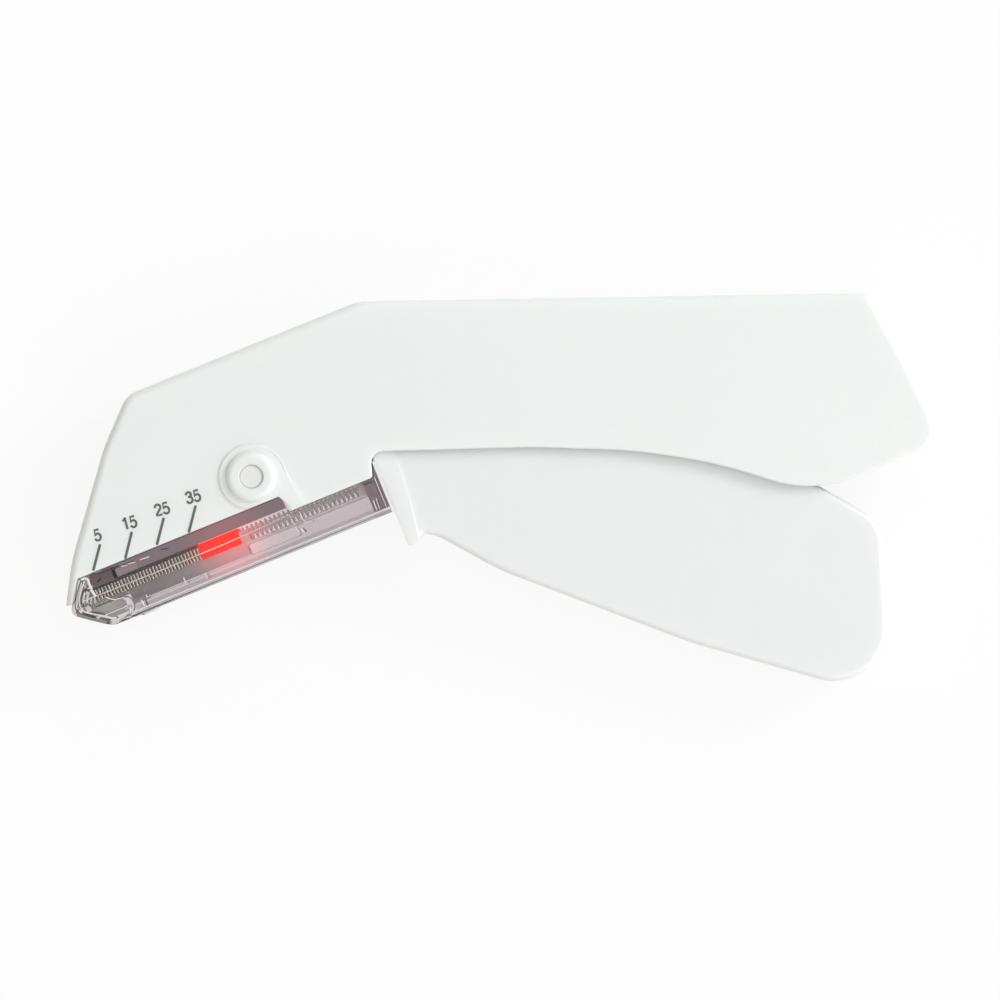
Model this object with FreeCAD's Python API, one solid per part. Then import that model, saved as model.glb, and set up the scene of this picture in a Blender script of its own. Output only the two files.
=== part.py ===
import FreeCAD, Part

import os
from math import cos, pi, radians, sin, tan

# Skin stapler lying on its right side, in millimetres.
# X runs from the nose to the heel, Y from the handle to the back, and Z up through the thickness.
# Z = 0 is the flat outer face of the right housing, on which the stapler rests.

V = FreeCAD.Vector
Z_AXIS = V(0, 0, 1)

# Fits
SPACE = 100.0             # more than the stapler's reach to any side
RUNNING_FIT = 0.05
PLAY = 0.1                # between rigid pieces that are fitted together
SIDE_PLAY = 0.3           # each side of the trigger in the housing

# Staples, which set the widths of everything round them
WIRE = 0.60
CROWN_WIDTH = 12.4
LEG_LENGTH = 2.6
WAITING_STAPLES = 34
FIRST_WAITING = 1.35      # middle of the first waiting staple, behind the start of the row
FRONT_STAPLE_AHEAD = 0.1  # middle of the front staple, ahead of the start of the row

# Walls across the thickness, from the staples outwards
STAPLE_ROOM = 0.4         # each side of the staples in the cartridge
CARTRIDGE_WALL = 1.1
WALL = 1.7                # side, back, heel and forehead walls of the housing
CARTRIDGE_INSIDE = CROWN_WIDTH / 2 + STAPLE_ROOM
CARTRIDGE_SIDE = CARTRIDGE_INSIDE + CARTRIDGE_WALL
HOUSING_INSIDE = CARTRIDGE_SIDE + PLAY
HALF_WIDTH = HOUSING_INSIDE + WALL
MID = HALF_WIDTH
WIDTH = 2 * HALF_WIDTH

# Side view of the housing
EDGE_ROUND = 1.3          # rounding of the outer edges
THROAT_ROUND = 0.4        # rounding of the edge under the heel and over the handle
NOSE_TIP = (-76.2, -20.7)
FRONT_BEND = (-75.2, -12.8)
FOREHEAD = (-69.6, 6.9)
HEAD_TOP = (-65.6, 16.2)
SHOULDER = (-25.0, 32.65)
BACK = (60.4, 34.05)
HEEL_TOP = (64.7, 33.8)
HEEL_BEND = (70.3, 23.8)
HEEL_LOW = (77.7, 8.6)
LOBE = (55.1, -1.2)
THROAT_REAR = (37.6, 4.4)
THROAT_MID = (23.1, 6.55)
THROAT_FRONT = (5.8, 7.15)
NOTCH = (-22.9, 6.35)
FRONT_ROUND, FOREHEAD_ROUND, HEAD_ROUND, SHOULDER_ROUND = 30, 22, 4.5, 7
BACK_ROUND, HEEL_TOP_ROUND, HEEL_ROUND, HEEL_LOW_ROUND = 30, 1.6, 60, 4.7
LOBE_ROUND, THROAT_REAR_ROUND, THROAT_MID_ROUND, THROAT_FRONT_ROUND = 22.5, 80, 60, 60
NOTCH_ROUND, NOTCH_FOOT_ROUND, PAD_FOOT_ROUND, LIP_STEP_ROUND = 2.1, 0.6, 0.9, 0.15

# Cartridge frame: s runs back along the track, t up from the top of the staples' crowns
ROW_X, ROW_Y = -73.2, -18.2
ROW_TILT = 22.2
LIP_FRONT_HEIGHT = 2.45   # housing's lip over the front of the cartridge
LIP_REAR_HEIGHT = -0.65   # and over its rear, behind the pivot
LIP_STEP = 38.5           # where the lip steps down
LIP_END = 54.5
CARTRIDGE_FRONT = 1.5
CARTRIDGE_REAR = 55.4
CARTRIDGE_TOP = 2.9
CROWN_ROOM = 0.15         # between the staples' crowns and the thick roof
ROOF_START = 4.1          # the roof leaves the former's path open
SIDE_FOOT = -6.5          # side walls end here, on the base
BASE_THICK = 1.0
BASE_FLANGE = 0.7         # how far the base stands out beyond the side walls
BASE_START = 3.1
KEEL_HALF_WIDTH = 3.0     # rib of the base that carries the track
BASE_ROUND = 0.3
RIM_THICK, RIM_HEIGHT = 0.8, 0.7          # rims that centre the base between the side walls
BUMP_START, BUMP_LENGTH, BUMP_SLOPE = 7.6, 3.4, 0.7
BUMP_HEIGHT, BUMP_INSET = 0.35, 0.6       # small foot under the base, behind the nose
WINDOW_DEPTH = 0.25       # shallow panel in each side wall
WINDOW_START, WINDOW_END = 7.4, 38.9
WINDOW_LOW, WINDOW_HIGH = -5.15, -1.65
LATCH_SET, LATCH_LENGTH = 0.3, 1.4       # latch behind the plug's front face
LATCH_LOW, LATCH_HIGH = -6.1, -3.9
PLUG_THICK = 2.9

# Track, follower and follower spring
TRACK_SHEET = 0.5
TRACK_ROOM = 0.25         # between the track's walls and the staples' legs
TRACK_DEPTH = 2.75
TRACK_FRONT = 0.9
APRON_START, APRON_END = 7.4, 29.6        # steel aprons under the track's walls, beside the keel
APRON_LOW = -5.2
OPENING_START, OPENING_END = 30.6, 51.4     # long openings in the track's walls beside the spring
OPENING_RAIL = 0.15       # what is left of the walls above and below the openings
FOLLOWER_LENGTH = 7.4
FOLLOWER_TOP = 0.05
FOLLOWER_SKIRT = 2.75
ROD_RADIUS = 0.4
ROD_DROP = 1.4            # rod and spring below the top of the crowns
ROD_START = 2.2
ROD_SEAT = 1.6            # rod's length in the end plug
COIL_RADIUS, COIL_WIRE, COIL_TURNS = 1.2, 0.35, 24
COIL_FLATS = 10           # straight runs to a turn

# Nose, in the cartridge frame
NOSE_TOP = (-0.26, 2.2)
NOSE_LOW = (-3.69, -2.98)
NOSE_HEEL = (2.6, -7.45)
CHEEK_LOW = (6.1, -6.9)
CHEEK_REAR = (7.0, -5.5)
CHEEK_HIGH = (6.4, -3.9)
CHEEK_WAIST = (3.9, -3.0)
CHEEK_FRONT = (1.85, -1.4)
NOSE_ROUND = 1.4
NOSE_TOP_ROUND, NOSE_HEEL_ROUND, CHEEK_LOW_ROUND, CHEEK_REAR_ROUND = 0.3, 0.2, 0.6, 0.8
CHEEK_HIGH_ROUND, CHEEK_WAIST_ROUND, CHEEK_FRONT_ROUND = 0.9, 1.5, 0.4
STRIP_SHARE = 0.74        # how far down the nose's front edge the housing's strip reaches
NOSE_WALL = 0.9
EXIT_REAR = 1.2           # rear edge of the staples' way out, behind the former's plane

# Anvil: a finger under the front staple's crown on an upright plate
ANVIL_NOSE, ANVIL_FOOT = 0.45, 0.4
ANVIL_REAR = 5.6
ANVIL_HEEL = 2.9
ANVIL_FIT = 0.2           # between the finger and the former's prongs
FINGER_LOW = 2.9          # finger's front edge below the crown, along the former's way

# Former frame: e runs back from the former's plane, a up along its travel
FORMER_TILT = 14.5
FORMER_THICK = 0.8
FORMER_LIFT = 1.0         # prongs above the front staple at rest
PRONG_LENGTH, PRONG_GAP = 6.6, 6.2
PRONG_CORNER, FORMER_HOLE = 0.3, 1.5
CARRIER_FRONT, CARRIER_REAR = 0.85, 2.9
CARRIER_WALL = 0.5        # carrier's sides beyond the former
CARRIER_BELOW, CARRIER_ABOVE = 7.0, 3.6     # carrier's ends from the middle of its window
CARRIER_SLOPE = 3.2       # height of the slanted top, which clears the forehead
WEB = 1.0                 # between the former's end and the window
CARRIER_CORNER = 0.3
GUIDE_LOW, GUIDE_HIGH, GUIDE_THICK = 9.0, 27.5, 1.2

# Trigger and its pivot
PIVOT_X, PIVOT_Y = -43.7, 1.93
PIN_RADIUS = 2.05
PIN_RECESS = 0.3          # pin's plain end behind the rest face
PIN_SHOWS = 1.15          # pin's other end out of the left side, inside the collar
PIN_EDGE = 0.25
HUB_RADIUS, HUB_HALF_WIDTH = 3.5, 4.6
ARM_HALF_WIDTH, ARM_ROOT = 2.8, 3.1
TIP_RADIUS, TIP_SET = 1.6, 0.9
TIP_PLAY = 0.12
TIP_FLARE = 0.8           # the carrier's window opens up towards the pivot
HANDLE_RECESS = 0.35      # handle's sides behind the flange's sides
HANDLE_WALL = 1.5
HANDLE_ROUND = 1.0
HANDLE_OPEN_ABOVE, HANDLE_OPEN_END = 3.0, 6.5     # opening along the handle's top
FLANGE_THICK = 3.2
FLANGE_PLACE = CARTRIDGE_REAR + 0.4     # flange's front face, in the cartridge frame
FLANGE_TOP, FLANGE_FOOT = 5.2, -14.05
HANDLE_TIP = (-15.3, -10.0)
HANDLE_STEP = (-13.5, -7.95)
HANDLE_START = (-10.7, -8.65)
HANDLE_BEND = (-0.2, -14.45)
HANDLE_BEND_REAR = (33.4, -27.2)
HANDLE_LOW = (68.55, -37.2)
HANDLE_HIGH = (66.85, -6.05)
HANDLE_RISE = (47.0, 5.4)
HANDLE_SHOULDER = (20.0, 10.6)
HANDLE_FRONT = (-17.0, 12.6)
FLANGE_TOP_ROUND, FLANGE_FOOT_ROUND, HANDLE_FRONT_ROUND, HANDLE_SHOULDER_ROUND = 1.5, 0.4, 6, 40
HANDLE_RISE_ROUND, HANDLE_HIGH_ROUND, HANDLE_LOW_ROUND, HANDLE_BEND_REAR_ROUND = 15, 6.2, 9.5, 60
HANDLE_BEND_ROUND, HANDLE_START_ROUND, HANDLE_STEP_ROUND, HANDLE_TIP_ROUND = 40, 3, 0.8, 0.6
BEAM_HALF_WIDTH = 3.0
BEAM_LOW, BEAM_HIGH = 4.0, 10.6
BEAM_END = 68.0
BEAM_NECK = 4.0           # beam slopes down behind the flange
FLANGE_LEAN = 1.4         # flange's rear face leans back towards its top
FLANGE_TAPER = 0.6        # and forward towards its foot
WEB_THICK = 1.6

# Return spring, which stands on the beam along t
SPRING_PLACE = 50.0
SPRING_LOW, SPRING_HIGH = 11.5, 25.6
SPRING_RADIUS, SPRING_WIRE, SPRING_TURNS = 2.5, 0.7, 8
SEAT_RADIUS, SPIGOT_RADIUS, SPIGOT_LENGTH = 3.4, 1.8, 1.6

# Rooms in the housing
MOUTH_AHEAD, MOUTH_HEEL = 3.2, 7.0          # ends of the handle's mouth, from its flange and the heel
MOUTH_DEPTH = 6.0
SEAT_BEHIND = 2.0         # seat beyond the cartridge's rear
FORMER_ROOM = 0.3         # ahead of the carrier
FORMER_ROOM_LOW, FORMER_ROOM_HIGH = 2.3, 8.0
BITE = 0.2                # how far ribs reach into the wall that carries them
GUIDE_INSIDE = 1.4        # guide ribs beside the lever

# Bosses and posts of the housing
BOSS_RADIUS = 3.4
RING_RADIUS, RING_HEIGHT, RING_ROUND = 4.5, 1.5, 1.2
RING_BORE, RING_LEAD = 2.15, 0.1
PAD_RADIUS, PAD_HEIGHT = 5.6, 0.35
PAD_TAPER = 0.82          # pad's foot widens behind by this share
PAD_SLIP = 0.1            # and starts in front of the pivot, below the ring
POSTS = [(-58.5, 15.2), (-43.0, 21.4), (5.0, 28.9), (62.6, 29.9), (72.0, 11.4)]
POST_RADIUS, PEG_RADIUS, PEG_LENGTH = 2.0, 1.0, 3.6
POST_SIDES = 6
GUSSETS = [-14.0, 22.0, 44.0]
GUSSET_THICK, GUSSET_DROP, GUSSET_REACH = 0.9, 3.4, 5.5

# Leaf over the anvil
LEAF_THICK, LEAF_HALF_WIDTH = 0.2, 1.4
LEAF_ROOT, LEAF_BEND, LEAF_TIP = 10.0, 4.6, -0.2
LEAF_SEAT = 1.9           # ceiling of the leaf's groove in the roof
LEAF_ROOM = 0.3
LEAF_ABOVE = 0.15         # leaf's tip above the top of the crowns


def point_turned(x, y, origin_x, origin_y, tilt):
    """A point of a tilted frame, in the stapler's frame."""
    c, s = cos(radians(tilt)), sin(radians(tilt))
    return V(origin_x + x * c - y * s, origin_y + x * s + y * c, 0)


def on_row(s, t):
    """A point of the cartridge frame, in the stapler's frame."""
    return point_turned(s, t, ROW_X, ROW_Y, ROW_TILT)


def from_row(point):
    """A point of the stapler's frame, in the cartridge frame."""
    turned = point_turned(point.x - ROW_X, point.y - ROW_Y, 0, 0, -ROW_TILT)
    return turned.x, turned.y


CROWN = on_row(-FRONT_STAPLE_AHEAD, -WIRE / 2)      # middle of the front staple's crown
PIVOT = V(PIVOT_X, PIVOT_Y, 0)
PIVOT_IN_ROW = from_row(PIVOT)
ROW_PLACE = FreeCAD.Placement(V(ROW_X, ROW_Y, 0), FreeCAD.Rotation(Z_AXIS, ROW_TILT))
FORMER_PLACE = FreeCAD.Placement(CROWN, FreeCAD.Rotation(Z_AXIS, -FORMER_TILT))


def on_former(e, a):
    """A point of the former frame, in the stapler's frame."""
    return point_turned(e, a, CROWN.x, CROWN.y, -FORMER_TILT)


def former_to_row(e, a):
    """A point of the former frame, in the cartridge frame."""
    turned = point_turned(e, a, 0, 0, -FORMER_TILT - ROW_TILT)
    return turned.x - FRONT_STAPLE_AHEAD, turned.y - WIRE / 2


HEAD_ROOM = 9.26          # lever's tip under the corner of the head, along the former
TIP_HEIGHT = (HEAD_TOP[1] - CROWN.y) / cos(radians(FORMER_TILT)) - HEAD_ROOM
TIP = on_former(TIP_SET, TIP_HEIGHT)
TRACK_SIDE = CROWN_WIDTH / 2 - WIRE - TRACK_ROOM
TRACK_TOP = -WIRE - 0.02
TRACK_LOW = TRACK_TOP - TRACK_DEPTH
CARRIER_LOW, CARRIER_HIGH = TIP_HEIGHT - CARRIER_BELOW, TIP_HEIGHT + CARRIER_ABOVE
FORMER_FOOT = WIRE / 2 + FORMER_LIFT
FORMER_TOP = TIP_HEIGHT - TIP_RADIUS - TIP_PLAY - WEB
FOLLOWER_FRONT = FIRST_WAITING + (WAITING_STAPLES - 0.5) * WIRE + RUNNING_FIT
FOLLOWER_REAR = FOLLOWER_FRONT + FOLLOWER_LENGTH
PLUG_FRONT = CARTRIDGE_REAR - PLUG_THICK
LATCH_START = PLUG_FRONT + LATCH_SET
LATCH_END = LATCH_START + LATCH_LENGTH
FLANGE_SIDE = HOUSING_INSIDE - SIDE_PLAY
HANDLE_SIDE = FLANGE_SIDE - HANDLE_RECESS


# Shapes that everything else is made with

def outline(corners):
    """Closed wire through corners (x, y, radius), each rounded by its radius."""
    points = [V(x, y, 0) for x, y, radius in corners]
    count = len(points)
    ends = []
    for i, (x, y, radius) in enumerate(corners):
        here = points[i]
        if radius == 0:
            ends.append((here, None, here))
            continue
        to_last = (points[i - 1] - here).normalize()
        to_next = (points[(i + 1) % count] - here).normalize()
        half = to_last.getAngle(to_next) / 2
        reach = radius / tan(half)
        bisector = (to_last + to_next).normalize()
        middle = here + bisector * (radius / sin(half) - radius)
        ends.append((here + to_last * reach, middle, here + to_next * reach))
    edges = []
    for i in range(count):
        first, middle, last = ends[i]
        if middle is not None:
            edges.append(Part.Arc(first, middle, last).toShape())
        following = ends[(i + 1) % count][0]
        edges.append(Part.LineSegment(last, following).toShape())
    return Part.Wire(edges)


def slab(wire, low, high):
    """Solid between two heights with the given outline."""
    face = Part.Face(wire)
    face.translate(V(0, 0, low))
    return face.extrude(V(0, 0, high - low))


def sharp(points):
    """Corners without rounding."""
    return [(x, y, 0) for x, y in points]


def centred(corners, half_width):
    """Slab that lies evenly about the parting plane."""
    return slab(outline(corners), MID - half_width, MID + half_width)


def block(x0, x1, y0, y1, half_width):
    """Box that lies evenly about the parting plane."""
    return Part.makeBox(x1 - x0, y1 - y0, 2 * half_width, V(x0, y0, MID - half_width))


def both_sides(x0, x1, y0, y1, inside, outside):
    """Two like boxes, one on each side of the parting plane."""
    width = outside - inside
    high = Part.makeBox(x1 - x0, y1 - y0, width, V(x0, y0, MID + inside))
    low = Part.makeBox(x1 - x0, y1 - y0, width, V(x0, y0, MID - outside))
    return [high, low]


def disc(radius, low, high, centre):
    return Part.makeCylinder(radius, high - low, V(centre.x, centre.y, low), Z_AXIS)


def prism(radius, low, high, centre):
    """Six-sided bar through the thickness."""
    turns = [2 * pi * k / POST_SIDES for k in range(POST_SIDES)]
    corners = [(centre.x + radius * cos(turn), centre.y + radius * sin(turn)) for turn in turns]
    return slab(outline(sharp(corners)), low, high)


def joined(shapes):
    result = shapes[0]
    for shape in shapes[1:]:
        result = result.fuse(shape)
    return result.removeSplitter()


def without(shape, cuts):
    for cut in cuts:
        shape = shape.cut(cut)
    return shape


def placed(shape, place):
    """Moves a shape from its own frame into the stapler's."""
    return shape.transformed(place.toMatrix())


def middle_of(edge):
    return edge.valueAt((edge.FirstParameter + edge.LastParameter) / 2)


def edge_rounded(solid, wire, height, radii):
    """Rounds a slab's edges above the wire's first edges, each from one radius to another."""
    document = FreeCAD.newDocument("rounding")
    base = document.addObject("Part::Feature", "base")
    base.Shape = solid
    picks = []
    for edge, (start, end) in zip(wire.Edges, radii):
        place = middle_of(edge) + V(0, 0, height)
        for number, candidate in enumerate(solid.Edges, 1):
            if middle_of(candidate).distanceToPoint(place) < 1e-3:
                picks.append((number, start, end))
    fillet = document.addObject("Part::Fillet", "fillet")
    fillet.Base = base
    fillet.Edges = picks
    document.recompute()
    result = fillet.Shape.copy()
    FreeCAD.closeDocument(document.Name)
    return result.Solids[0]


def mitred_wire(points, radius, sides, up):
    """Wire of flat faces along straight runs, with a mitre at each bend."""
    runs = [(b - a).normalize() for a, b in zip(points, points[1:])]
    side = runs[0].cross(up).normalize()
    lift = side.cross(runs[0])
    ring = []
    for k in range(sides):
        turn = 2 * pi * (k + 0.5) / sides
        ring.append(points[0] + side * (radius * cos(turn)) + lift * (radius * sin(turn)))
    rings = [ring]
    for i in range(1, len(points)):
        run = runs[i - 1]
        cut = run if i == len(points) - 1 else run + runs[i]
        ring = [p + run * ((points[i] - p).dot(cut) / run.dot(cut)) for p in ring]
        rings.append(ring)
    faces = [Part.Face(Part.makePolygon(rings[0] + rings[0][:1]))]
    for low, high in zip(rings, rings[1:]):
        for k in range(sides):
            n = (k + 1) % sides
            faces.append(Part.Face(Part.makePolygon([low[k], low[n], high[n], high[k], low[k]])))
    faces.append(Part.Face(Part.makePolygon(rings[-1] + rings[-1][:1])))
    solid = Part.Solid(Part.Shell(faces))
    if solid.Volume < 0:
        solid.reverse()
    return solid


def coil(length, radius, wire, turns, flats):
    """Compression spring along X from the origin, with a closed turn at each end."""
    closed = wire * 1.05
    open_turns = turns - 2
    pitch = (length - wire - 2 * closed) / open_turns
    points = []
    for i in range(turns * flats + 1):
        turn = i / flats
        if turn <= 1:
            rise = closed * turn
        elif turn <= turns - 1:
            rise = closed + pitch * (turn - 1)
        else:
            rise = closed + pitch * open_turns + closed * (turn - turns + 1)
        angle = 2 * pi * turn
        points.append(V(wire / 2 + rise, radius * cos(angle), MID + radius * sin(angle)))
    return mitred_wire(points, wire / 2, 4, V(1, 0, 0))


# Outlines that several pieces share

def row_corner(s, t, radius):
    point = on_row(s, t)
    return (point.x, point.y, radius)


def housing_corners():
    """Side view of the body: from the nose over the back to the heel, and back along the lips."""
    strip = on_row(*nose_strip_foot())
    return [
        (*NOSE_TIP, 0),
        (*FRONT_BEND, FRONT_ROUND),
        (*FOREHEAD, FOREHEAD_ROUND),
        (*HEAD_TOP, HEAD_ROUND),
        (*SHOULDER, SHOULDER_ROUND),
        (*BACK, BACK_ROUND),
        (*HEEL_TOP, HEEL_TOP_ROUND),
        (*HEEL_BEND, HEEL_ROUND),
        (*HEEL_LOW, HEEL_LOW_ROUND),
        (*LOBE, LOBE_ROUND),
        (*THROAT_REAR, THROAT_REAR_ROUND),
        (*THROAT_MID, THROAT_MID_ROUND),
        (*THROAT_FRONT, THROAT_FRONT_ROUND),
        (*NOTCH, NOTCH_ROUND),
        row_corner(LIP_END, LIP_REAR_HEIGHT, NOTCH_FOOT_ROUND),
        row_corner(LIP_STEP, LIP_REAR_HEIGHT, PAD_FOOT_ROUND),
        row_corner(LIP_STEP - PLAY, LIP_FRONT_HEIGHT, LIP_STEP_ROUND),
        row_corner(NOSE_TOP[0] + NOSE_TOP_ROUND, LIP_FRONT_HEIGHT, 0),
        row_corner(NOSE_TOP[0], NOSE_TOP[1], 0),
        (strip.x, NOSE_TIP[1] + PLAY, 0),
    ]


def nose_strip_foot():
    """Where the housing's front strip ends beside the nose, in the cartridge frame."""
    return [top + (low - top) * STRIP_SHARE for top, low in zip(NOSE_TOP, NOSE_LOW)]


def nose_corners(grow=0.0):
    """Side view of the clear nose piece, in the cartridge frame."""
    return [
        (NOSE_TOP[0] - grow, NOSE_TOP[1] + grow, NOSE_TOP_ROUND),
        (NOSE_LOW[0] - grow, NOSE_LOW[1] - grow, NOSE_ROUND),
        (NOSE_HEEL[0], NOSE_HEEL[1] - grow, NOSE_HEEL_ROUND),
        (CHEEK_LOW[0] + grow, CHEEK_LOW[1] - grow, CHEEK_LOW_ROUND),
        (CHEEK_REAR[0] + grow, CHEEK_REAR[1], CHEEK_REAR_ROUND),
        (CHEEK_HIGH[0] + grow, CHEEK_HIGH[1] + grow, CHEEK_HIGH_ROUND),
        (CHEEK_WAIST[0] + grow, CHEEK_WAIST[1] + grow, CHEEK_WAIST_ROUND),
        (CHEEK_FRONT[0] + grow, CHEEK_FRONT[1] + grow, CHEEK_FRONT_ROUND),
        (CARTRIDGE_FRONT + grow, NOSE_TOP[1] + grow, NOSE_HEEL_ROUND),
    ]


def handle_corners():
    """Side view of the squeeze handle, from the top of its flange to its tip."""
    return [
        row_corner(FLANGE_PLACE, FLANGE_TOP, FLANGE_TOP_ROUND),
        (*HANDLE_FRONT, HANDLE_FRONT_ROUND),
        (*HANDLE_SHOULDER, HANDLE_SHOULDER_ROUND),
        (*HANDLE_RISE, HANDLE_RISE_ROUND),
        (*HANDLE_HIGH, HANDLE_HIGH_ROUND),
        (*HANDLE_LOW, HANDLE_LOW_ROUND),
        (*HANDLE_BEND_REAR, HANDLE_BEND_REAR_ROUND),
        (*HANDLE_BEND, HANDLE_BEND_ROUND),
        (*HANDLE_START, HANDLE_START_ROUND),
        (*HANDLE_STEP, HANDLE_STEP_ROUND),
        (*HANDLE_TIP, HANDLE_TIP_ROUND),
        row_corner(FLANGE_PLACE, FLANGE_FOOT, FLANGE_FOOT_ROUND),
    ]


# Housing

def outer_half(is_left):
    """Solid half of the body with its rounded outer edges."""
    corners = housing_corners()
    wire = outline(corners)
    solid = slab(wire, MID, WIDTH)
    heel = 2 * corners.index((*HEEL_LOW, HEEL_LOW_ROUND)) - 1
    notch = 2 * corners.index((*NOTCH, NOTCH_ROUND)) - 1
    radii = [(EDGE_ROUND, EDGE_ROUND)] * heel
    radii += [(EDGE_ROUND, THROAT_ROUND)]
    radii += [(THROAT_ROUND, THROAT_ROUND)] * (notch - heel)
    solid = edge_rounded(solid, wire, WIDTH, radii)
    return solid if is_left else solid.mirror(V(0, 0, MID), Z_AXIS)


def housing_hollow():
    """Room inside the body: the moulded hollow, the handle's mouth and the cartridge's seat."""
    hollow = slab(outline(housing_corners()).makeOffset2D(-WALL), MID - HOUSING_INSIDE,
                  MID + HOUSING_INSIDE)
    flange = on_row(FLANGE_PLACE, 0)
    front = flange.x - MOUTH_AHEAD
    heel = HEEL_LOW[0] - MOUTH_HEEL
    mouth = centred(sharp([
        (front, NOTCH[1] + MOUTH_DEPTH),
        (THROAT_MID[0], THROAT_MID[1] + MOUTH_DEPTH),
        (LOBE[0], THROAT_REAR[1]),
        (heel, THROAT_REAR[1] + MOUTH_DEPTH / 2),
        (heel, LOBE[1] - MOUTH_DEPTH),
        (front, LOBE[1] - MOUTH_DEPTH),
    ]), HOUSING_INSIDE)
    ceiling = CARTRIDGE_TOP + PLAY
    seat_low = NOSE_HEEL[1] - MOUTH_DEPTH
    seat = centred(sharp([
        (NOSE_TOP[0] - PLAY, ceiling),
        (CARTRIDGE_REAR + SEAT_BEHIND, ceiling),
        (CARTRIDGE_REAR + SEAT_BEHIND, seat_low),
        (NOSE_LOW[0], seat_low),
        (NOSE_LOW[0] - PLAY, NOSE_LOW[1]),
        (NOSE_TOP[0] - PLAY, NOSE_TOP[1]),
    ]), HOUSING_INSIDE)
    front_low = former_to_row(-CARRIER_FRONT - FORMER_ROOM, FORMER_ROOM_LOW)
    front_high = former_to_row(-CARRIER_FRONT - FORMER_ROOM, FORMER_ROOM_HIGH)
    throat = centred(sharp([
        front_low,
        (CARTRIDGE_REAR, front_low[1]),
        (CARTRIDGE_REAR, front_high[1]),
        front_high,
    ]), CARTRIDGE_INSIDE)
    return [hollow, mouth, placed(seat, ROW_PLACE), placed(throat, ROW_PLACE)]


def return_spring_seat():
    """Pad and spigot under the roof for the return spring."""
    pad = Part.makeCylinder(SEAT_RADIUS, 6, V(SPRING_PLACE, SPRING_HIGH, MID), V(0, 1, 0))
    spigot = Part.makeCylinder(SPIGOT_RADIUS, SPIGOT_LENGTH + 1,
                               V(SPRING_PLACE, SPRING_HIGH - SPIGOT_LENGTH, MID), V(0, 1, 0))
    return placed(pad.fuse(spigot), ROW_PLACE)


def carrier_guides():
    """Ribs before and behind the former's carrier, on both halves."""
    inside = ARM_HALF_WIDTH + GUIDE_INSIDE
    outside = HOUSING_INSIDE + BITE
    front = both_sides(-CARRIER_FRONT - PLAY - GUIDE_THICK, -CARRIER_FRONT - PLAY, GUIDE_LOW,
                       GUIDE_HIGH - CARRIER_SLOPE, inside, outside)
    rear = both_sides(CARRIER_REAR + PLAY, CARRIER_REAR + PLAY + GUIDE_THICK, GUIDE_LOW, GUIDE_HIGH,
                      inside, outside)
    return [placed(rib, FORMER_PLACE) for rib in front + rear]


def grip_gussets():
    """Thin ribs across the corner between the back and the side walls."""
    ribs = []
    for place in GUSSETS:
        top = SHOULDER[1] + (BACK[1] - SHOULDER[1]) * (place - SHOULDER[0]) / (BACK[0] - SHOULDER[0])
        ribs += both_sides(place, place + GUSSET_THICK, top - WALL - GUSSET_DROP, top - WALL / 2,
                           HOUSING_INSIDE - GUSSET_REACH, HOUSING_INSIDE + BITE)
    return ribs


def pivot_pad():
    """Raised pad round the pivot, which runs down to the housing's lip."""
    s, t = PIVOT_IN_ROW
    low = WIDTH - WALL / 3
    foot = placed(slab(outline(sharp([
        (s - PAD_RADIUS * PAD_SLIP, LIP_FRONT_HEIGHT + RUNNING_FIT / 2),
        (LIP_STEP - PAD_FOOT_ROUND / 2, LIP_FRONT_HEIGHT + RUNNING_FIT / 2),
        (LIP_STEP + PAD_FOOT_ROUND, LIP_REAR_HEIGHT + PAD_FOOT_ROUND / 2),
        (s + PAD_RADIUS / PAD_TAPER, LIP_REAR_HEIGHT + PAD_FOOT_ROUND / 2),
        (s + PAD_RADIUS - RUNNING_FIT, t),
        (s - PAD_RADIUS * PAD_SLIP, t),
    ])), low, WIDTH + PAD_HEIGHT), ROW_PLACE)
    lip = LIP_FRONT_HEIGHT + RUNNING_FIT / 2
    below = placed(block(s - SPACE, LIP_STEP - PAD_FOOT_ROUND / 2, lip - SPACE, lip, SPACE), ROW_PLACE)
    return joined([disc(PAD_RADIUS, low, WIDTH + PAD_HEIGHT, PIVOT).cut(below), foot])


def pivot_ring():
    """Rounded collar round the pin's end."""
    top = WIDTH + RING_HEIGHT
    collar = disc(RING_RADIUS, WIDTH - WALL / 2, top, PIVOT)
    rim = [edge for edge in collar.Edges if abs(middle_of(edge).z - top) < 1e-6]
    collar = collar.makeFillet(RING_ROUND, rim)
    lead = Part.makeCone(RING_BORE, RING_BORE + RING_LEAD, RING_LEAD, V(PIVOT_X, PIVOT_Y, top - RING_LEAD))
    return collar.cut(lead)


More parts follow.
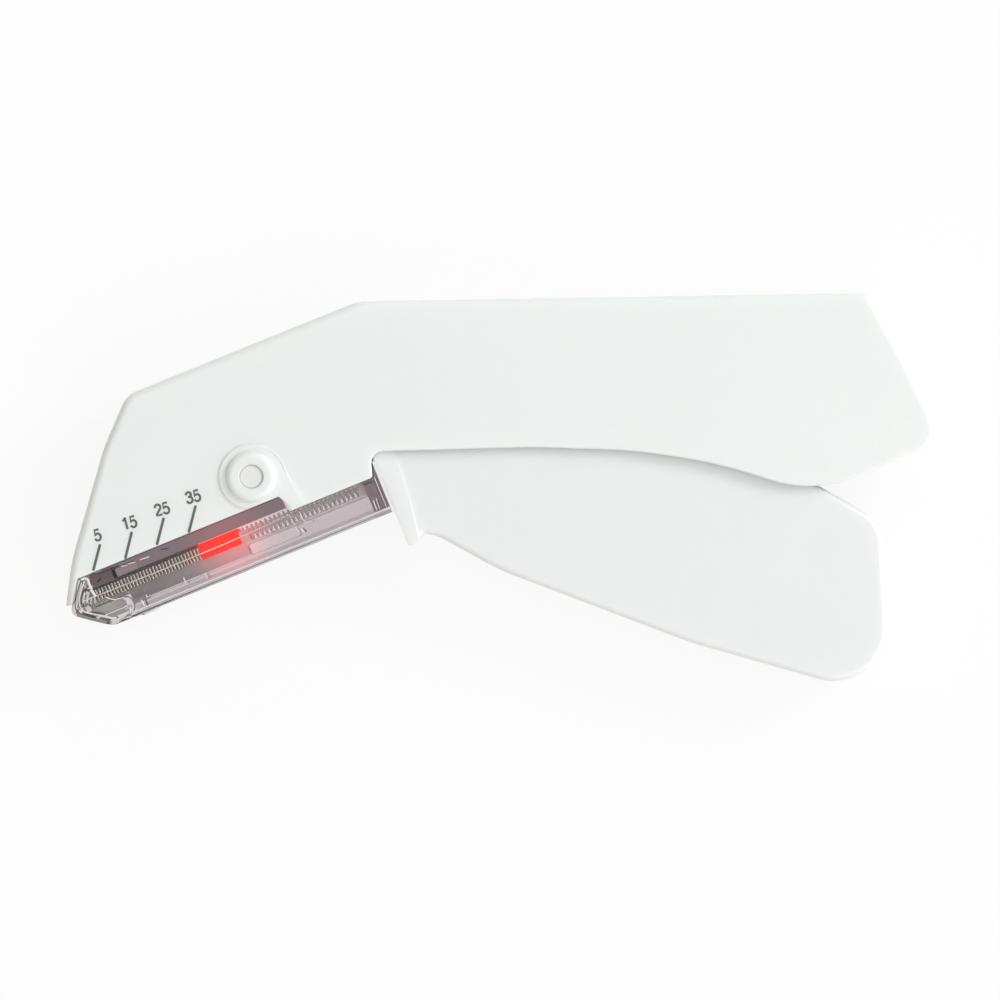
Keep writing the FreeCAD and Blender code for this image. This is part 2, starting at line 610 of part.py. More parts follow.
def build_housing(is_left):
    """One half of the body, with its bosses, guides, spring seat and posts."""
    side = 1 if is_left else -1
    half = without(outer_half(is_left), housing_hollow())
    low, high = (MID, WIDTH - WALL / 2) if is_left else (WALL / 2, MID)
    space = Part.makeBox(2 * SPACE, 2 * SPACE, high - low, V(-SPACE, -SPACE, low))
    inside = [return_spring_seat()] + carrier_guides() + grip_gussets()
    body = outer_half(is_left)
    features = [shape.common(space).common(body) for shape in inside]
    features = [shape for shape in features if shape.Volume > 1e-6]
    hub_face = MID + side * (HUB_HALF_WIDTH + PLAY)
    wall_face = MID + side * (HOUSING_INSIDE + BITE)
    features.append(disc(BOSS_RADIUS, min(hub_face, wall_face), max(hub_face, wall_face), PIVOT))
    for x, y in POSTS:
        features.append(prism(POST_RADIUS, min(MID, wall_face), max(MID, wall_face), V(x, y, 0)))
    half = joined([half] + features)
    if is_left:
        half = joined([half, pivot_pad(), pivot_ring()])
        half = half.cut(disc(RING_BORE, WIDTH - PIN_RECESS, WIDTH + RING_HEIGHT + 1, PIVOT))
    half = half.cut(disc(PIN_RADIUS + RUNNING_FIT / 2, -1, WIDTH + 2, PIVOT))
    for x, y in POSTS:
        centre = V(x, y, 0)
        if is_left:
            half = half.cut(prism(PEG_RADIUS + RUNNING_FIT, MID - 1, MID + PEG_LENGTH + PLAY, centre))
        else:
            half = half.fuse(prism(PEG_RADIUS, MID - 1, MID + PEG_LENGTH, centre))
    return half.removeSplitter()


# Trigger

def build_trigger():
    """Hollow squeeze handle, its front flange, the beam to the pivot and the arm to the former."""
    corners = handle_corners()
    wire = outline(corners)
    handle = slab(wire, MID - HANDLE_SIDE, MID + HANDLE_SIDE)
    rear_start = 2 * corners.index((*HANDLE_RISE, HANDLE_RISE_ROUND))
    rear_end = 2 * corners.index((*HANDLE_START, HANDLE_START_ROUND))
    rear = Part.Compound(wire.Edges[rear_start:rear_end])
    for height in (MID + HANDLE_SIDE, MID - HANDLE_SIDE):
        handle = edge_rounded(handle, rear, height, [(HANDLE_ROUND, HANDLE_ROUND)] * len(rear.Edges))
    room = wire.makeOffset2D(-HANDLE_WALL)
    hollow = slab(room, MID - HANDLE_SIDE + HANDLE_WALL, MID + HANDLE_SIDE - HANDLE_WALL)
    top = HANDLE_OPEN_ABOVE
    mouth = centred(sharp([
        (HANDLE_FRONT[0] + FLANGE_THICK, HANDLE_FRONT[1] + top),
        (HANDLE_SHOULDER[0], HANDLE_SHOULDER[1] + top),
        (HANDLE_RISE[0], HANDLE_RISE[1] + top),
        (HANDLE_HIGH[0] - HANDLE_OPEN_END, HANDLE_HIGH[1] + 2 * top),
        (HANDLE_HIGH[0] - HANDLE_OPEN_END, HANDLE_HIGH[1] - top),
        (HANDLE_RISE[0], HANDLE_RISE[1] - 2 * top),
        (HANDLE_FRONT[0] + FLANGE_THICK, HANDLE_FRONT[1] - 2 * top),
    ]), HANDLE_SIDE - HANDLE_WALL)
    handle = without(handle, [hollow, mouth])
    whole = slab(wire, MID - FLANGE_SIDE, MID + FLANGE_SIDE)
    flange_room = placed(centred(sharp([
        (FLANGE_PLACE - 1, FLANGE_TOP + FLANGE_THICK),
        (FLANGE_PLACE + FLANGE_THICK * FLANGE_LEAN, FLANGE_TOP + FLANGE_THICK),
        (FLANGE_PLACE + FLANGE_THICK, FLANGE_FOOT / 2),
        (FLANGE_PLACE + FLANGE_THICK * FLANGE_TAPER, FLANGE_FOOT - 1),
        (FLANGE_PLACE - 1, FLANGE_FOOT - 1),
    ]), HALF_WIDTH), ROW_PLACE)
    flange = whole.common(flange_room)
    web = slab(wire, MID - WEB_THICK / 2, MID + WEB_THICK / 2)
    s = PIVOT_IN_ROW[0]
    beam = placed(centred(sharp([
        (s, BEAM_LOW),
        (FLANGE_PLACE + RUNNING_FIT, BEAM_LOW),
        (FLANGE_PLACE + RUNNING_FIT, FLANGE_FOOT / 3),
        (BEAM_END, FLANGE_FOOT / 3),
        (BEAM_END, BEAM_LOW),
        (FLANGE_PLACE + BEAM_NECK, BEAM_HIGH - 1),
        (SPRING_PLACE + SEAT_RADIUS, BEAM_HIGH),
        (s, BEAM_HIGH),
    ]), BEAM_HALF_WIDTH), ROW_PLACE)
    pad = Part.makeCylinder(SEAT_RADIUS, SPRING_LOW - BEAM_HIGH + 2,
                            V(SPRING_PLACE, BEAM_HIGH - 2, MID), V(0, 1, 0))
    spigot = Part.makeCylinder(SPIGOT_RADIUS, SPIGOT_LENGTH + 1,
                               V(SPRING_PLACE, SPRING_LOW - 1, MID), V(0, 1, 0))
    seat = placed(pad.fuse(spigot), ROW_PLACE)
    hub = disc(HUB_RADIUS, MID - HUB_HALF_WIDTH, MID + HUB_HALF_WIDTH, PIVOT)
    reach = (TIP - PIVOT).normalize()
    across = V(-reach.y, reach.x, 0)
    arm = centred(sharp([(p.x, p.y) for p in (
        PIVOT + across * ARM_ROOT,
        TIP + across * TIP_RADIUS,
        TIP - across * TIP_RADIUS,
        PIVOT - across * ARM_ROOT,
    )]), ARM_HALF_WIDTH)
    tip = disc(TIP_RADIUS, MID - ARM_HALF_WIDTH, MID + ARM_HALF_WIDTH, TIP)
    body = joined([handle, flange, web, beam, seat, hub, arm, tip])
    return body.cut(disc(PIN_RADIUS + RUNNING_FIT, -1, WIDTH + 1, PIVOT))


def build_pin():
    """Pivot pin with chamfered ends, a little below the ring and above the rest face."""
    pin = disc(PIN_RADIUS, PIN_RECESS, WIDTH + PIN_SHOWS, PIVOT)
    rims = [edge for edge in pin.Edges if edge.Curve.TypeId == "Part::GeomCircle"]
    return pin.makeChamfer(PIN_EDGE, rims)


# Former

def build_former():
    """Steel plate with two prongs that pass on both sides of the anvil."""
    foot = FORMER_FOOT
    plate = block(-FORMER_THICK / 2, FORMER_THICK / 2, foot, FORMER_TOP, CROWN_WIDTH / 2)
    gap = block(-1, 1, foot - 1, foot + PRONG_LENGTH, PRONG_GAP / 2)
    corners = [edge for edge in plate.Edges
               if abs(middle_of(edge).y - foot) < 1e-6 and abs(abs(middle_of(edge).z - MID)
                                                                - CROWN_WIDTH / 2) < 1e-6]
    plate = plate.makeChamfer(PRONG_CORNER, corners)
    hole = Part.makeCylinder(FORMER_HOLE, 2, V(-1, foot + PRONG_LENGTH + 3 * FORMER_HOLE, MID), V(1, 0, 0))
    return placed(without(plate, [gap, hole]), FORMER_PLACE)


def build_carrier():
    """Moulded slide that holds the former and takes the trigger's tip in its window."""
    half_width = CROWN_WIDTH / 2 + CARRIER_WALL
    body = centred([
        (-CARRIER_FRONT, CARRIER_LOW, CARRIER_CORNER),
        (CARRIER_REAR, CARRIER_LOW, CARRIER_CORNER),
        (CARRIER_REAR, CARRIER_HIGH, CARRIER_CORNER),
        (0, CARRIER_HIGH, CARRIER_CORNER),
        (-CARRIER_FRONT, CARRIER_HIGH - CARRIER_SLOPE, CARRIER_CORNER),
    ], half_width)
    slot = block(-FORMER_THICK / 2, FORMER_THICK / 2, CARRIER_LOW - 1, FORMER_TOP, CROWN_WIDTH / 2)
    room = TIP_RADIUS + TIP_PLAY
    window = centred(sharp([
        (-CARRIER_FRONT - 1, TIP_HEIGHT - room),
        (TIP_SET, TIP_HEIGHT - room),
        (CARRIER_REAR + 1, TIP_HEIGHT - room - TIP_FLARE / 4),
        (CARRIER_REAR + 1, TIP_HEIGHT + room + TIP_FLARE * 1.4),
        (TIP_SET, TIP_HEIGHT + room),
        (-CARRIER_FRONT - 1, TIP_HEIGHT + room),
    ]), ARM_HALF_WIDTH + SIDE_PLAY)
    return placed(without(body, [slot, window]), FORMER_PLACE)


# Cartridge

def build_cartridge_body():
    """Clear side walls and roof, cut to the nose piece's outline in front."""
    shape = centred(sharp([
        (CARTRIDGE_FRONT, SIDE_FOOT),
        (CARTRIDGE_REAR, SIDE_FOOT),
        (CARTRIDGE_REAR, CARTRIDGE_TOP),
        (CARTRIDGE_FRONT, CARTRIDGE_TOP),
    ]), CARTRIDGE_SIDE)
    inside = block(CARTRIDGE_FRONT - 1, CARTRIDGE_REAR + 1, SIDE_FOOT - 1, CROWN_ROOM, CARTRIDGE_INSIDE)
    leaf_groove = block(ROOF_START - 1, LEAF_ROOT + LEAF_ROOM, CROWN_ROOM - 1, LEAF_SEAT,
                        LEAF_HALF_WIDTH + LEAF_ROOM)
    former_way = block(CARTRIDGE_FRONT - 1, ROOF_START, 0, CARTRIDGE_TOP + 1, CARTRIDGE_INSIDE)
    nose = centred(nose_corners(RUNNING_FIT), CARTRIDGE_SIDE + 1)
    panels = both_sides(WINDOW_START, WINDOW_END, WINDOW_LOW, WINDOW_HIGH,
                        CARTRIDGE_SIDE - WINDOW_DEPTH, CARTRIDGE_SIDE + 1)
    latches = both_sides(LATCH_START, LATCH_END, LATCH_LOW, LATCH_HIGH, CARTRIDGE_INSIDE - 1,
                         CARTRIDGE_SIDE + 1)
    return placed(without(shape, [inside, leaf_groove, former_way, nose] + panels + latches), ROW_PLACE)


def build_cartridge_base():
    """Clear bottom flange with the keel that carries the track."""
    half_width = CARTRIDGE_SIDE + BASE_FLANGE
    flange = block(BASE_START, CARTRIDGE_REAR, SIDE_FOOT - BASE_THICK, SIDE_FOOT, half_width)
    ends = [edge for edge in flange.Edges if abs(middle_of(edge).y - SIDE_FOOT + BASE_THICK) < 1e-6
            and abs(abs(middle_of(edge).z - MID) - half_width) < 1e-6]
    flange = flange.makeFillet(BASE_ROUND, ends)
    start, end = CHEEK_REAR[0] + CHEEK_FRONT_ROUND, PLUG_FRONT - PLAY
    keel = block(start, end, SIDE_FOOT - PLAY, TRACK_LOW - RUNNING_FIT / 2, KEEL_HALF_WIDTH)
    inside = CARTRIDGE_INSIDE - PLAY
    rims = both_sides(start, end, SIDE_FOOT - PLAY, SIDE_FOOT + RIM_HEIGHT, inside - RIM_THICK, inside)
    low = SIDE_FOOT - BASE_THICK
    foot = centred([
        (BUMP_START, low + PLAY, 0),
        (BUMP_START + BUMP_SLOPE, low - BUMP_HEIGHT, 0.2),
        (BUMP_START + BUMP_LENGTH - BUMP_SLOPE, low - BUMP_HEIGHT, 0.2),
        (BUMP_START + BUMP_LENGTH, low + PLAY, 0),
    ], half_width - BUMP_INSET)
    shape = joined([flange, keel, foot] + rims)
    return placed(shape.cut(centred(nose_corners(RUNNING_FIT), half_width + 1)), ROW_PLACE)


def build_end_plug():
    """Clear plug in the rear of the cartridge, with a latch nub in each wall and the rod's hole."""
    inside = CARTRIDGE_INSIDE - RUNNING_FIT
    plug = block(PLUG_FRONT, CARTRIDGE_REAR, SIDE_FOOT + PLAY / 2, CROWN_ROOM - PLAY / 2, inside)
    nubs = both_sides(LATCH_START + PLAY, LATCH_END - PLAY, LATCH_LOW + PLAY, LATCH_HIGH - PLAY,
                      inside - BITE, CARTRIDGE_SIDE - RUNNING_FIT)
    hole = Part.makeCylinder(ROD_RADIUS + RUNNING_FIT / 2, ROD_SEAT,
                             V(PLUG_FRONT, -ROD_DROP, MID), V(1, 0, 0))
    return placed(joined([plug] + nubs).cut(hole), ROW_PLACE)


def build_nose_guide():
    """Clear nose with two cheeks, a thin front wall and the staples' way out in its floor."""
    body = centred(nose_corners(), CARTRIDGE_SIDE)
    former_front = -FORMER_THICK / 2 - PLAY
    exit_way = placed(block(former_front, EXIT_REAR, -SPACE, SPACE, CARTRIDGE_INSIDE), FORMER_PLACE)
    exit_way = placed(exit_way, ROW_PLACE.inverse())
    room = slab(outline(nose_corners()).makeOffset2D(-NOSE_WALL), MID - CARTRIDGE_INSIDE,
                MID + CARTRIDGE_INSIDE)
    behind = block(former_front, SPACE, -SPACE, SPACE, CARTRIDGE_SIDE)
    behind = placed(placed(behind, FORMER_PLACE), ROW_PLACE.inverse())
    rear = block(CARTRIDGE_FRONT - EXIT_REAR, SPACE, SIDE_FOOT + RUNNING_FIT, SPACE, CARTRIDGE_INSIDE)
    return placed(without(body, [exit_way, room.common(behind), rear]), ROW_PLACE)


def build_track():
    """Folded steel channel whose two edges carry the staples and the follower."""
    length = PLUG_FRONT - PLAY - TRACK_FRONT
    outside = block(TRACK_FRONT, TRACK_FRONT + length, TRACK_LOW, TRACK_TOP, TRACK_SIDE)
    room = block(TRACK_FRONT - 1, TRACK_FRONT + length + 1, TRACK_LOW + TRACK_SHEET, TRACK_TOP + 1,
                 TRACK_SIDE - TRACK_SHEET)
    folds = [edge for edge in outside.Edges if abs(middle_of(edge).y - TRACK_LOW) < 1e-6
             and abs(abs(middle_of(edge).z - MID) - TRACK_SIDE) < 1e-6]
    openings = centred([
        (OPENING_START, TRACK_LOW + TRACK_SHEET + OPENING_RAIL, 0.5),
        (OPENING_END, TRACK_LOW + TRACK_SHEET + OPENING_RAIL, 0.5),
        (OPENING_END, TRACK_TOP - OPENING_RAIL, 0.5),
        (OPENING_START, TRACK_TOP - OPENING_RAIL, 0.5),
    ], TRACK_SIDE + 1)
    channel = without(outside.makeFillet(TRACK_SHEET, folds), [room, openings])
    aprons = both_sides(APRON_START, APRON_END, APRON_LOW, TRACK_LOW + 2 * TRACK_SHEET,
                        TRACK_SIDE - TRACK_SHEET, TRACK_SIDE)
    return placed(joined([channel] + aprons), ROW_PLACE)


def build_anvil():
    """Steel finger under the front staple's crown, with its plate in the nose."""
    top = TRACK_TOP
    rear = TRACK_FRONT - PLAY
    low = TRACK_LOW - RUNNING_FIT
    finger = centred(sharp([
        (-FRONT_STAPLE_AHEAD - ANVIL_NOSE, top),
        (rear, top),
        (rear, low - ANVIL_FOOT),
        (-TRACK_FRONT + PLAY, low - ANVIL_FOOT),
        former_to_row(-FORMER_THICK / 2, -FINGER_LOW),
    ]), PRONG_GAP / 2 - ANVIL_FIT)
    plate = centred(sharp([
        (-TRACK_FRONT, low),
        (ANVIL_REAR, low),
        (ANVIL_REAR, SIDE_FOOT + ANVIL_FOOT),
        (ANVIL_HEEL, SIDE_FOOT + ANVIL_FOOT),
        (-TRACK_FRONT, low - ANVIL_FOOT / 2),
    ]), TRACK_SIDE)
    return placed(joined([finger, plate]), ROW_PLACE)


def staple(s):
    """Unformed staple: a crown across the track and a leg on each side."""
    half = CROWN_WIDTH / 2 - WIRE / 2
    corner = WIRE * 0.5
    top, foot = -WIRE / 2, -LEG_LENGTH
    points = [
        V(s, foot, MID - half),
        V(s, top - corner, MID - half),
        V(s, top, MID - half + corner),
        V(s, top, MID + half - corner),
        V(s, top - corner, MID + half),
        V(s, foot, MID + half),
    ]
    return mitred_wire(points, WIRE / 2, 6, V(0, 0, 1))


def build_staple_stack():
    row = [staple(FIRST_WAITING + i * WIRE) for i in range(WAITING_STAPLES)]
    return placed(Part.Compound(row), ROW_PLACE)


def build_front_staple():
    return placed(staple(-FRONT_STAPLE_AHEAD), ROW_PLACE)


def build_follower():
    """Red saddle over the track, with a block in the channel that runs on the rod."""
    half_width = CROWN_WIDTH / 2
    plate_low = TRACK_TOP + RUNNING_FIT
    plate = block(FOLLOWER_FRONT, FOLLOWER_REAR, plate_low, FOLLOWER_TOP, half_width)
    skirts = both_sides(FOLLOWER_FRONT, FOLLOWER_REAR, -FOLLOWER_SKIRT, plate_low,
                        TRACK_SIDE + PLAY, half_width)
    key = block(FOLLOWER_FRONT, FOLLOWER_REAR, TRACK_LOW + TRACK_SHEET + 2 * PLAY, plate_low,
                TRACK_SIDE - TRACK_SHEET - PLAY)
    bore = Part.makeCylinder(ROD_RADIUS + PLAY, 2 * FOLLOWER_LENGTH,
                             V(FOLLOWER_FRONT - 2, -ROD_DROP, MID), V(1, 0, 0))
    return placed(joined([plate, key] + skirts).cut(bore), ROW_PLACE)


def build_rod():
    """Rod along the channel, held in the end plug, on which the spring and follower run."""
    rod = Part.makeCylinder(ROD_RADIUS, PLUG_FRONT + ROD_SEAT - ROD_START - RUNNING_FIT,
                            V(ROD_START, -ROD_DROP, MID), V(1, 0, 0))
    return placed(rod, ROW_PLACE)


def build_follower_spring():
    """Long spring on the rod, between the follower and the end plug."""
    length = PLUG_FRONT - FOLLOWER_REAR - 2 * RUNNING_FIT
    spring = coil(length, COIL_RADIUS, COIL_WIRE, COIL_TURNS, COIL_FLATS)
    spring.translate(V(FOLLOWER_REAR + RUNNING_FIT, -ROD_DROP, 0))
    return placed(spring, ROW_PLACE)


def build_return_spring():
    """Spring between the trigger's beam and the roof."""
    length = SPRING_HIGH - SPRING_LOW - 2 * RUNNING_FIT
    spring = coil(length, SPRING_RADIUS, SPRING_WIRE, SPRING_TURNS, COIL_FLATS)
    spring.rotate(V(0, 0, 0), Z_AXIS, 90)
    spring.translate(V(SPRING_PLACE, SPRING_LOW + RUNNING_FIT, 0))
    return placed(spring, ROW_PLACE)


def build_ejector():
    """Steel leaf under the cartridge's roof that ends just above the front staple."""
    roof = LEAF_SEAT - RUNNING_FIT
    tip = LEAF_ABOVE
    leaf = centred(sharp([
        (LEAF_ROOT, roof),
        (LEAF_ROOT, roof - LEAF_THICK),
        (LEAF_BEND, roof - LEAF_THICK),
        (LEAF_TIP, tip),
        (LEAF_TIP, tip + LEAF_THICK * 1.1),
        (LEAF_BEND - 0.1, roof),
    ]), LEAF_HALF_WIDTH)
    return placed(leaf, ROW_PLACE)


def write(name, shape):
    shape.exportStep(os.path.join("parts", name + ".step"))
    box = shape.BoundBox
    print(name, len(shape.Solids), shape.isValid(), round(shape.Volume, 1),
          [round(v, 2) for v in (box.XMin, box.YMin, box.ZMin, box.XMax, box.YMax, box.ZMax)])


def main():
    os.makedirs("parts", exist_ok=True)
    write("left_housing", build_housing(True))
    write("right_housing", build_housing(False))
    write("trigger", build_trigger())
    write("trigger_pivot_pin", build_pin())
    write("former", build_former())
    write("former_carrier", build_carrier())
    write("return_spring", build_return_spring())
    write("cartridge_body", build_cartridge_body())
    write("cartridge_base", build_cartridge_base())
    write("cartridge_end_plug", build_end_plug())
    write("nose_guide", build_nose_guide())
    write("staple_track", build_track())
    write("anvil", build_anvil())
    write("staple_stack", build_staple_stack())
    write("front_staple", build_front_staple())
    write("follower", build_follower())
    write("follower_spring", build_follower_spring())
    write("spring_guide_rod", build_rod())
    write("ejector_spring", build_ejector())


main()
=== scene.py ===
# %% [markdown]
# A skin stapler, dressed in Blender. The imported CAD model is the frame: its solids stay where they are, and
# this lesson gives them their finishes, swaps the coarse wires for round ones and prints the scale.
# Lengths are in metres. X runs from the nose to the heel, Y from the handle to the back, Z up from the floor.

from math import pi, radians

import bpy
from mathutils import Matrix, Vector


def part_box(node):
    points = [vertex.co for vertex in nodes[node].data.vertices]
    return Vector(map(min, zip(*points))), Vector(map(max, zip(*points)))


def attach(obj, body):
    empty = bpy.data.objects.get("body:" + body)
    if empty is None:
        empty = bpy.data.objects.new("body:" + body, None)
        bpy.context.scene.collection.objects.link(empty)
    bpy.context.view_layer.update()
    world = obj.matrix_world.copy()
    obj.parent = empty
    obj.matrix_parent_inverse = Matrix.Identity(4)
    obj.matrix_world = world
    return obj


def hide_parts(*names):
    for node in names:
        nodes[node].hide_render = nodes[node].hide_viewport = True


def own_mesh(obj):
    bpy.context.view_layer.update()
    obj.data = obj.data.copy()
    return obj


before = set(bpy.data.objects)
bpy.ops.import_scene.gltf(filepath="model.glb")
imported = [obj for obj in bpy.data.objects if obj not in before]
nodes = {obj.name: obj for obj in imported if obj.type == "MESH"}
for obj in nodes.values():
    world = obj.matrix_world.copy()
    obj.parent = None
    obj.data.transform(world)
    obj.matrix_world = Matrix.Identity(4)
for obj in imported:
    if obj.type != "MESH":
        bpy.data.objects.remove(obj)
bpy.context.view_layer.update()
print("nodes:", ", ".join(sorted(nodes)))

# %% [markdown]
# The photograph is a catalogue picture, taken from straight above the stapler's left side with a long lens.
# A camera 1.2 m away with a narrow field gives that flat view. The lens follows from the width of the
# picture, 175 mm at the body's upper face, so a pixel of the picture is 0.175 mm there.

# %% Camera
MM = 0.001
PIXEL = 0.175 * MM
PICTURE_PIXELS = 1000
PICTURE_WIDTH = PIXEL * PICTURE_PIXELS
PICTURE_X, PICTURE_Y = 501.0, 487.75      # where the model's origin lies in the picture
TOP_FACE = 19.0 * MM
CAMERA_RANGE = 1.2
SENSOR = 36.0


def picture_point(across, down, height=TOP_FACE):
    """A point of the picture, in pixels from its top left corner, on the model at some height."""
    centre = PICTURE_PIXELS / 2
    spread = (CAMERA_RANGE + TOP_FACE - height) / CAMERA_RANGE
    across, down = centre + (across - centre) * spread, centre + (down - centre) * spread
    return Vector(((across - PICTURE_X) * PIXEL, (PICTURE_Y - down) * PIXEL, height))


bpy.ops.object.select_all(action="DESELECT")
middle = picture_point(PICTURE_PIXELS / 2, PICTURE_PIXELS / 2)
bpy.ops.object.camera_add(location=(middle.x, middle.y, TOP_FACE + CAMERA_RANGE))
camera = bpy.context.object
camera.name = "camera"
camera.data.sensor_width = SENSOR
camera.data.lens = SENSOR * CAMERA_RANGE / PICTURE_WIDTH
camera.data.clip_end = 20.0
bpy.context.scene.camera = camera
bpy.context.scene.view_settings.view_transform = "Standard"
print("lens", round(camera.data.lens, 1))

# %% [markdown]
# Every finish is a small tree of shader nodes. These helpers start a tree, add a node, wire two nodes
# together, and make a colour that drifts between two near tones, as it does on all the real pieces.

# %% A small kit for node materials
def new_material(name):
    """An empty node material with its output, and its node tree."""
    material = bpy.data.materials.new(name)
    material.use_nodes = True
    tree = material.node_tree
    tree.nodes.clear()
    return material, tree, tree.nodes.new("ShaderNodeOutputMaterial")


def add_node(tree, kind, **values):
    """A node with its sockets set by name, written with _ for a space."""
    node = tree.nodes.new("ShaderNode" + kind)
    for name, value in values.items():
        node.inputs[name.replace("_", " ")].default_value = value
    return node


def add_maths(tree, operation, second=0.0):
    """A Math node, with its second value set for when nothing is wired to it."""
    node = tree.nodes.new("ShaderNodeMath")
    node.operation = operation
    node.inputs[1].default_value = second
    return node


def wire(tree, start, socket, end, into):
    tree.links.new(start.outputs[socket], end.inputs[into])


def drift(tree, noise, shade, colour):
    """A colour that drifts from a shade to a colour with a noise."""
    tint = tree.nodes.new("ShaderNodeMix")
    tint.data_type = "RGBA"
    tint.inputs["A"].default_value = (*shade, 1)
    tint.inputs["B"].default_value = (*colour, 1)
    wire(tree, noise, "Fac", tint, 0)
    return tint


# %% [markdown]
# The picture's ground is pure white with a soft grey halo. The floor is a white sheet that the camera sees
# mostly by its own light, so it comes out white, while a share of it still takes the stapler's shadow.

# %% Floor
FLOOR_SHADE = 0.13            # share of the floor that shows its shadow to the camera
FLOOR_SIZE = 12.0
FLOOR_DROP = 0.02 * MM        # keeps the floor clear of the faces that lie on it
PAPER_WHITE = (0.90, 0.90, 0.90, 1)
GLOW_WHITE = (1, 1, 1, 1)

bpy.ops.object.select_all(action="DESELECT")
bpy.ops.mesh.primitive_plane_add(size=FLOOR_SIZE, location=(0, 0, -FLOOR_DROP))
floor = bpy.context.object
floor.name = "floor"
floor_paper, tree, out = new_material("floor_paper")
paper = add_node(tree, "BsdfDiffuse", Color=PAPER_WHITE)
glow = add_node(tree, "Emission", Color=GLOW_WHITE, Strength=1.0)
rays = add_node(tree, "LightPath")
seen = add_maths(tree, "MAXIMUM")
seen_through = add_maths(tree, "MAXIMUM")
share = add_maths(tree, "MULTIPLY", 1 - FLOOR_SHADE)
mix = tree.nodes.new("ShaderNodeMixShader")
wire(tree, rays, "Is Camera Ray", seen, 0)
wire(tree, rays, "Is Glossy Ray", seen, 1)
wire(tree, seen, 0, seen_through, 0)
wire(tree, rays, "Is Transmission Ray", seen_through, 1)
wire(tree, seen_through, 0, share, 0)
wire(tree, share, 0, mix, 0)
wire(tree, paper, 0, mix, 1)
wire(tree, glow, 0, mix, 2)
wire(tree, mix, 0, out, "Surface")
floor.data.materials.append(floor_paper)
print("floor:", len(tree.nodes), "nodes")

# %% [markdown]
# The sky is white over the heel and turns to a dull warm grey towards the nose, so faces that look to the
# nose are a little darker and browner, as in the picture.

# %% Daylight
SKY_STRENGTH = 0.915
NOSE_SKY = (0.34, 0.32, 0.26, 1)
HEEL_SKY = (1.0, 1.0, 1.0, 1)
GREY_UP_TO, WHITE_FROM = -0.9, 0.3        # how far along X the sky's direction points

world = bpy.data.worlds.new("studio")
bpy.context.scene.world = world
world.use_nodes = True
tree = world.node_tree
sky = tree.nodes["Background"]
sky.inputs["Strength"].default_value = SKY_STRENGTH
direction = tree.nodes.new("ShaderNodeTexCoord")
parts = tree.nodes.new("ShaderNodeSeparateXYZ")
slope = add_node(tree, "MapRange", From_Min=GREY_UP_TO, From_Max=WHITE_FROM)
shade = tree.nodes.new("ShaderNodeMix")
shade.data_type = "RGBA"
shade.inputs["A"].default_value = NOSE_SKY
shade.inputs["B"].default_value = HEEL_SKY
wire(tree, direction, "Generated", parts, 0)
wire(tree, parts, "X", slope, "Value")
wire(tree, slope, "Result", shade, 0)
wire(tree, shade, "Result", sky, "Color")
print("sky:", SKY_STRENGTH)

# %% [markdown]
# The light is soft and comes from the heel and the back, so edges that face up and right in the picture are
# bright. One lamp does that and a weaker one fills from the handle's side.

# %% Lamps
def lamp(name, place, size, power, colour):
    """A round lamp that shines at the origin."""
    bpy.ops.object.light_add(type="AREA", location=place)
    light = bpy.context.object
    light.name = name
    light.data.color = colour
    light.data.shape = "DISK"
    light.data.size = size
    light.data.energy = power
    light.rotation_euler = (-Vector(place)).to_track_quat("-Z", "Y").to_euler()
    print(name, power, "W")


lamp("key_lamp", place=(0.75, 0.40, 0.60), size=0.45, power=3.6, colour=(0.95, 1.0, 1.0))
lamp("fill_lamp", place=(0.35, -0.7, 0.95), size=0.7, power=2.0, colour=(1.0, 0.97, 0.94))

# %% [markdown]
# The body and the handle are moulded in white plastic with a satin skin. A faint cloudiness of the colour,
# a fine grain in the skin and a roughness that varies by a few percent keep it from looking like paper.

# %% Moulded white plastic
SOFT_REACH = 2.5 * MM             # how far light creeps under the skin
GLOSS_WAVE = 0.05


def moulded_plastic(name, colour, shade, roughness, grain=0.02, specular=0.45, glow=0.0, soft=0.0):
    """Satin plastic: two near colours in soft clouds, a fine skin and slow waves in the gloss."""
    material, tree, out = new_material(name)
    skin = add_node(tree, "BsdfPrincipled", Roughness=roughness, IOR=1.5)
    skin.inputs["Specular IOR Level"].default_value = specular
    skin.inputs["Emission Color"].default_value = (*colour, 1)
    skin.inputs["Emission Strength"].default_value = glow
    skin.inputs["Subsurface Weight"].default_value = soft
    skin.inputs["Subsurface Radius"].default_value = (1.0, 0.8, 0.65)
    skin.inputs["Subsurface Scale"].default_value = SOFT_REACH
    place = tree.nodes.new("ShaderNodeTexCoord")
    clouds = add_node(tree, "TexNoise", Scale=45.0, Detail=3.0, Roughness=0.55)
    tint = drift(tree, clouds, shade, colour)
    gloss = add_node(tree, "MapRange", From_Min=0.3, From_Max=0.7)
    gloss.inputs["To Min"].default_value = roughness - GLOSS_WAVE
    gloss.inputs["To Max"].default_value = roughness + GLOSS_WAVE
    fine = add_node(tree, "TexNoise", Scale=2600.0, Detail=2.0, Roughness=0.5)
    bump = add_node(tree, "Bump", Strength=grain, Distance=0.05 * MM)
    wire(tree, place, "Object", clouds, "Vector")
    wire(tree, place, "Object", fine, "Vector")
    wire(tree, tint, "Result", skin, "Base Color")
    wire(tree, clouds, "Fac", gloss, "Value")
    wire(tree, gloss, "Result", skin, "Roughness")
    wire(tree, fine, "Fac", bump, "Height")
    wire(tree, bump, "Normal", skin, "Normal")
    wire(tree, skin, "BSDF", out, "Surface")
    return material


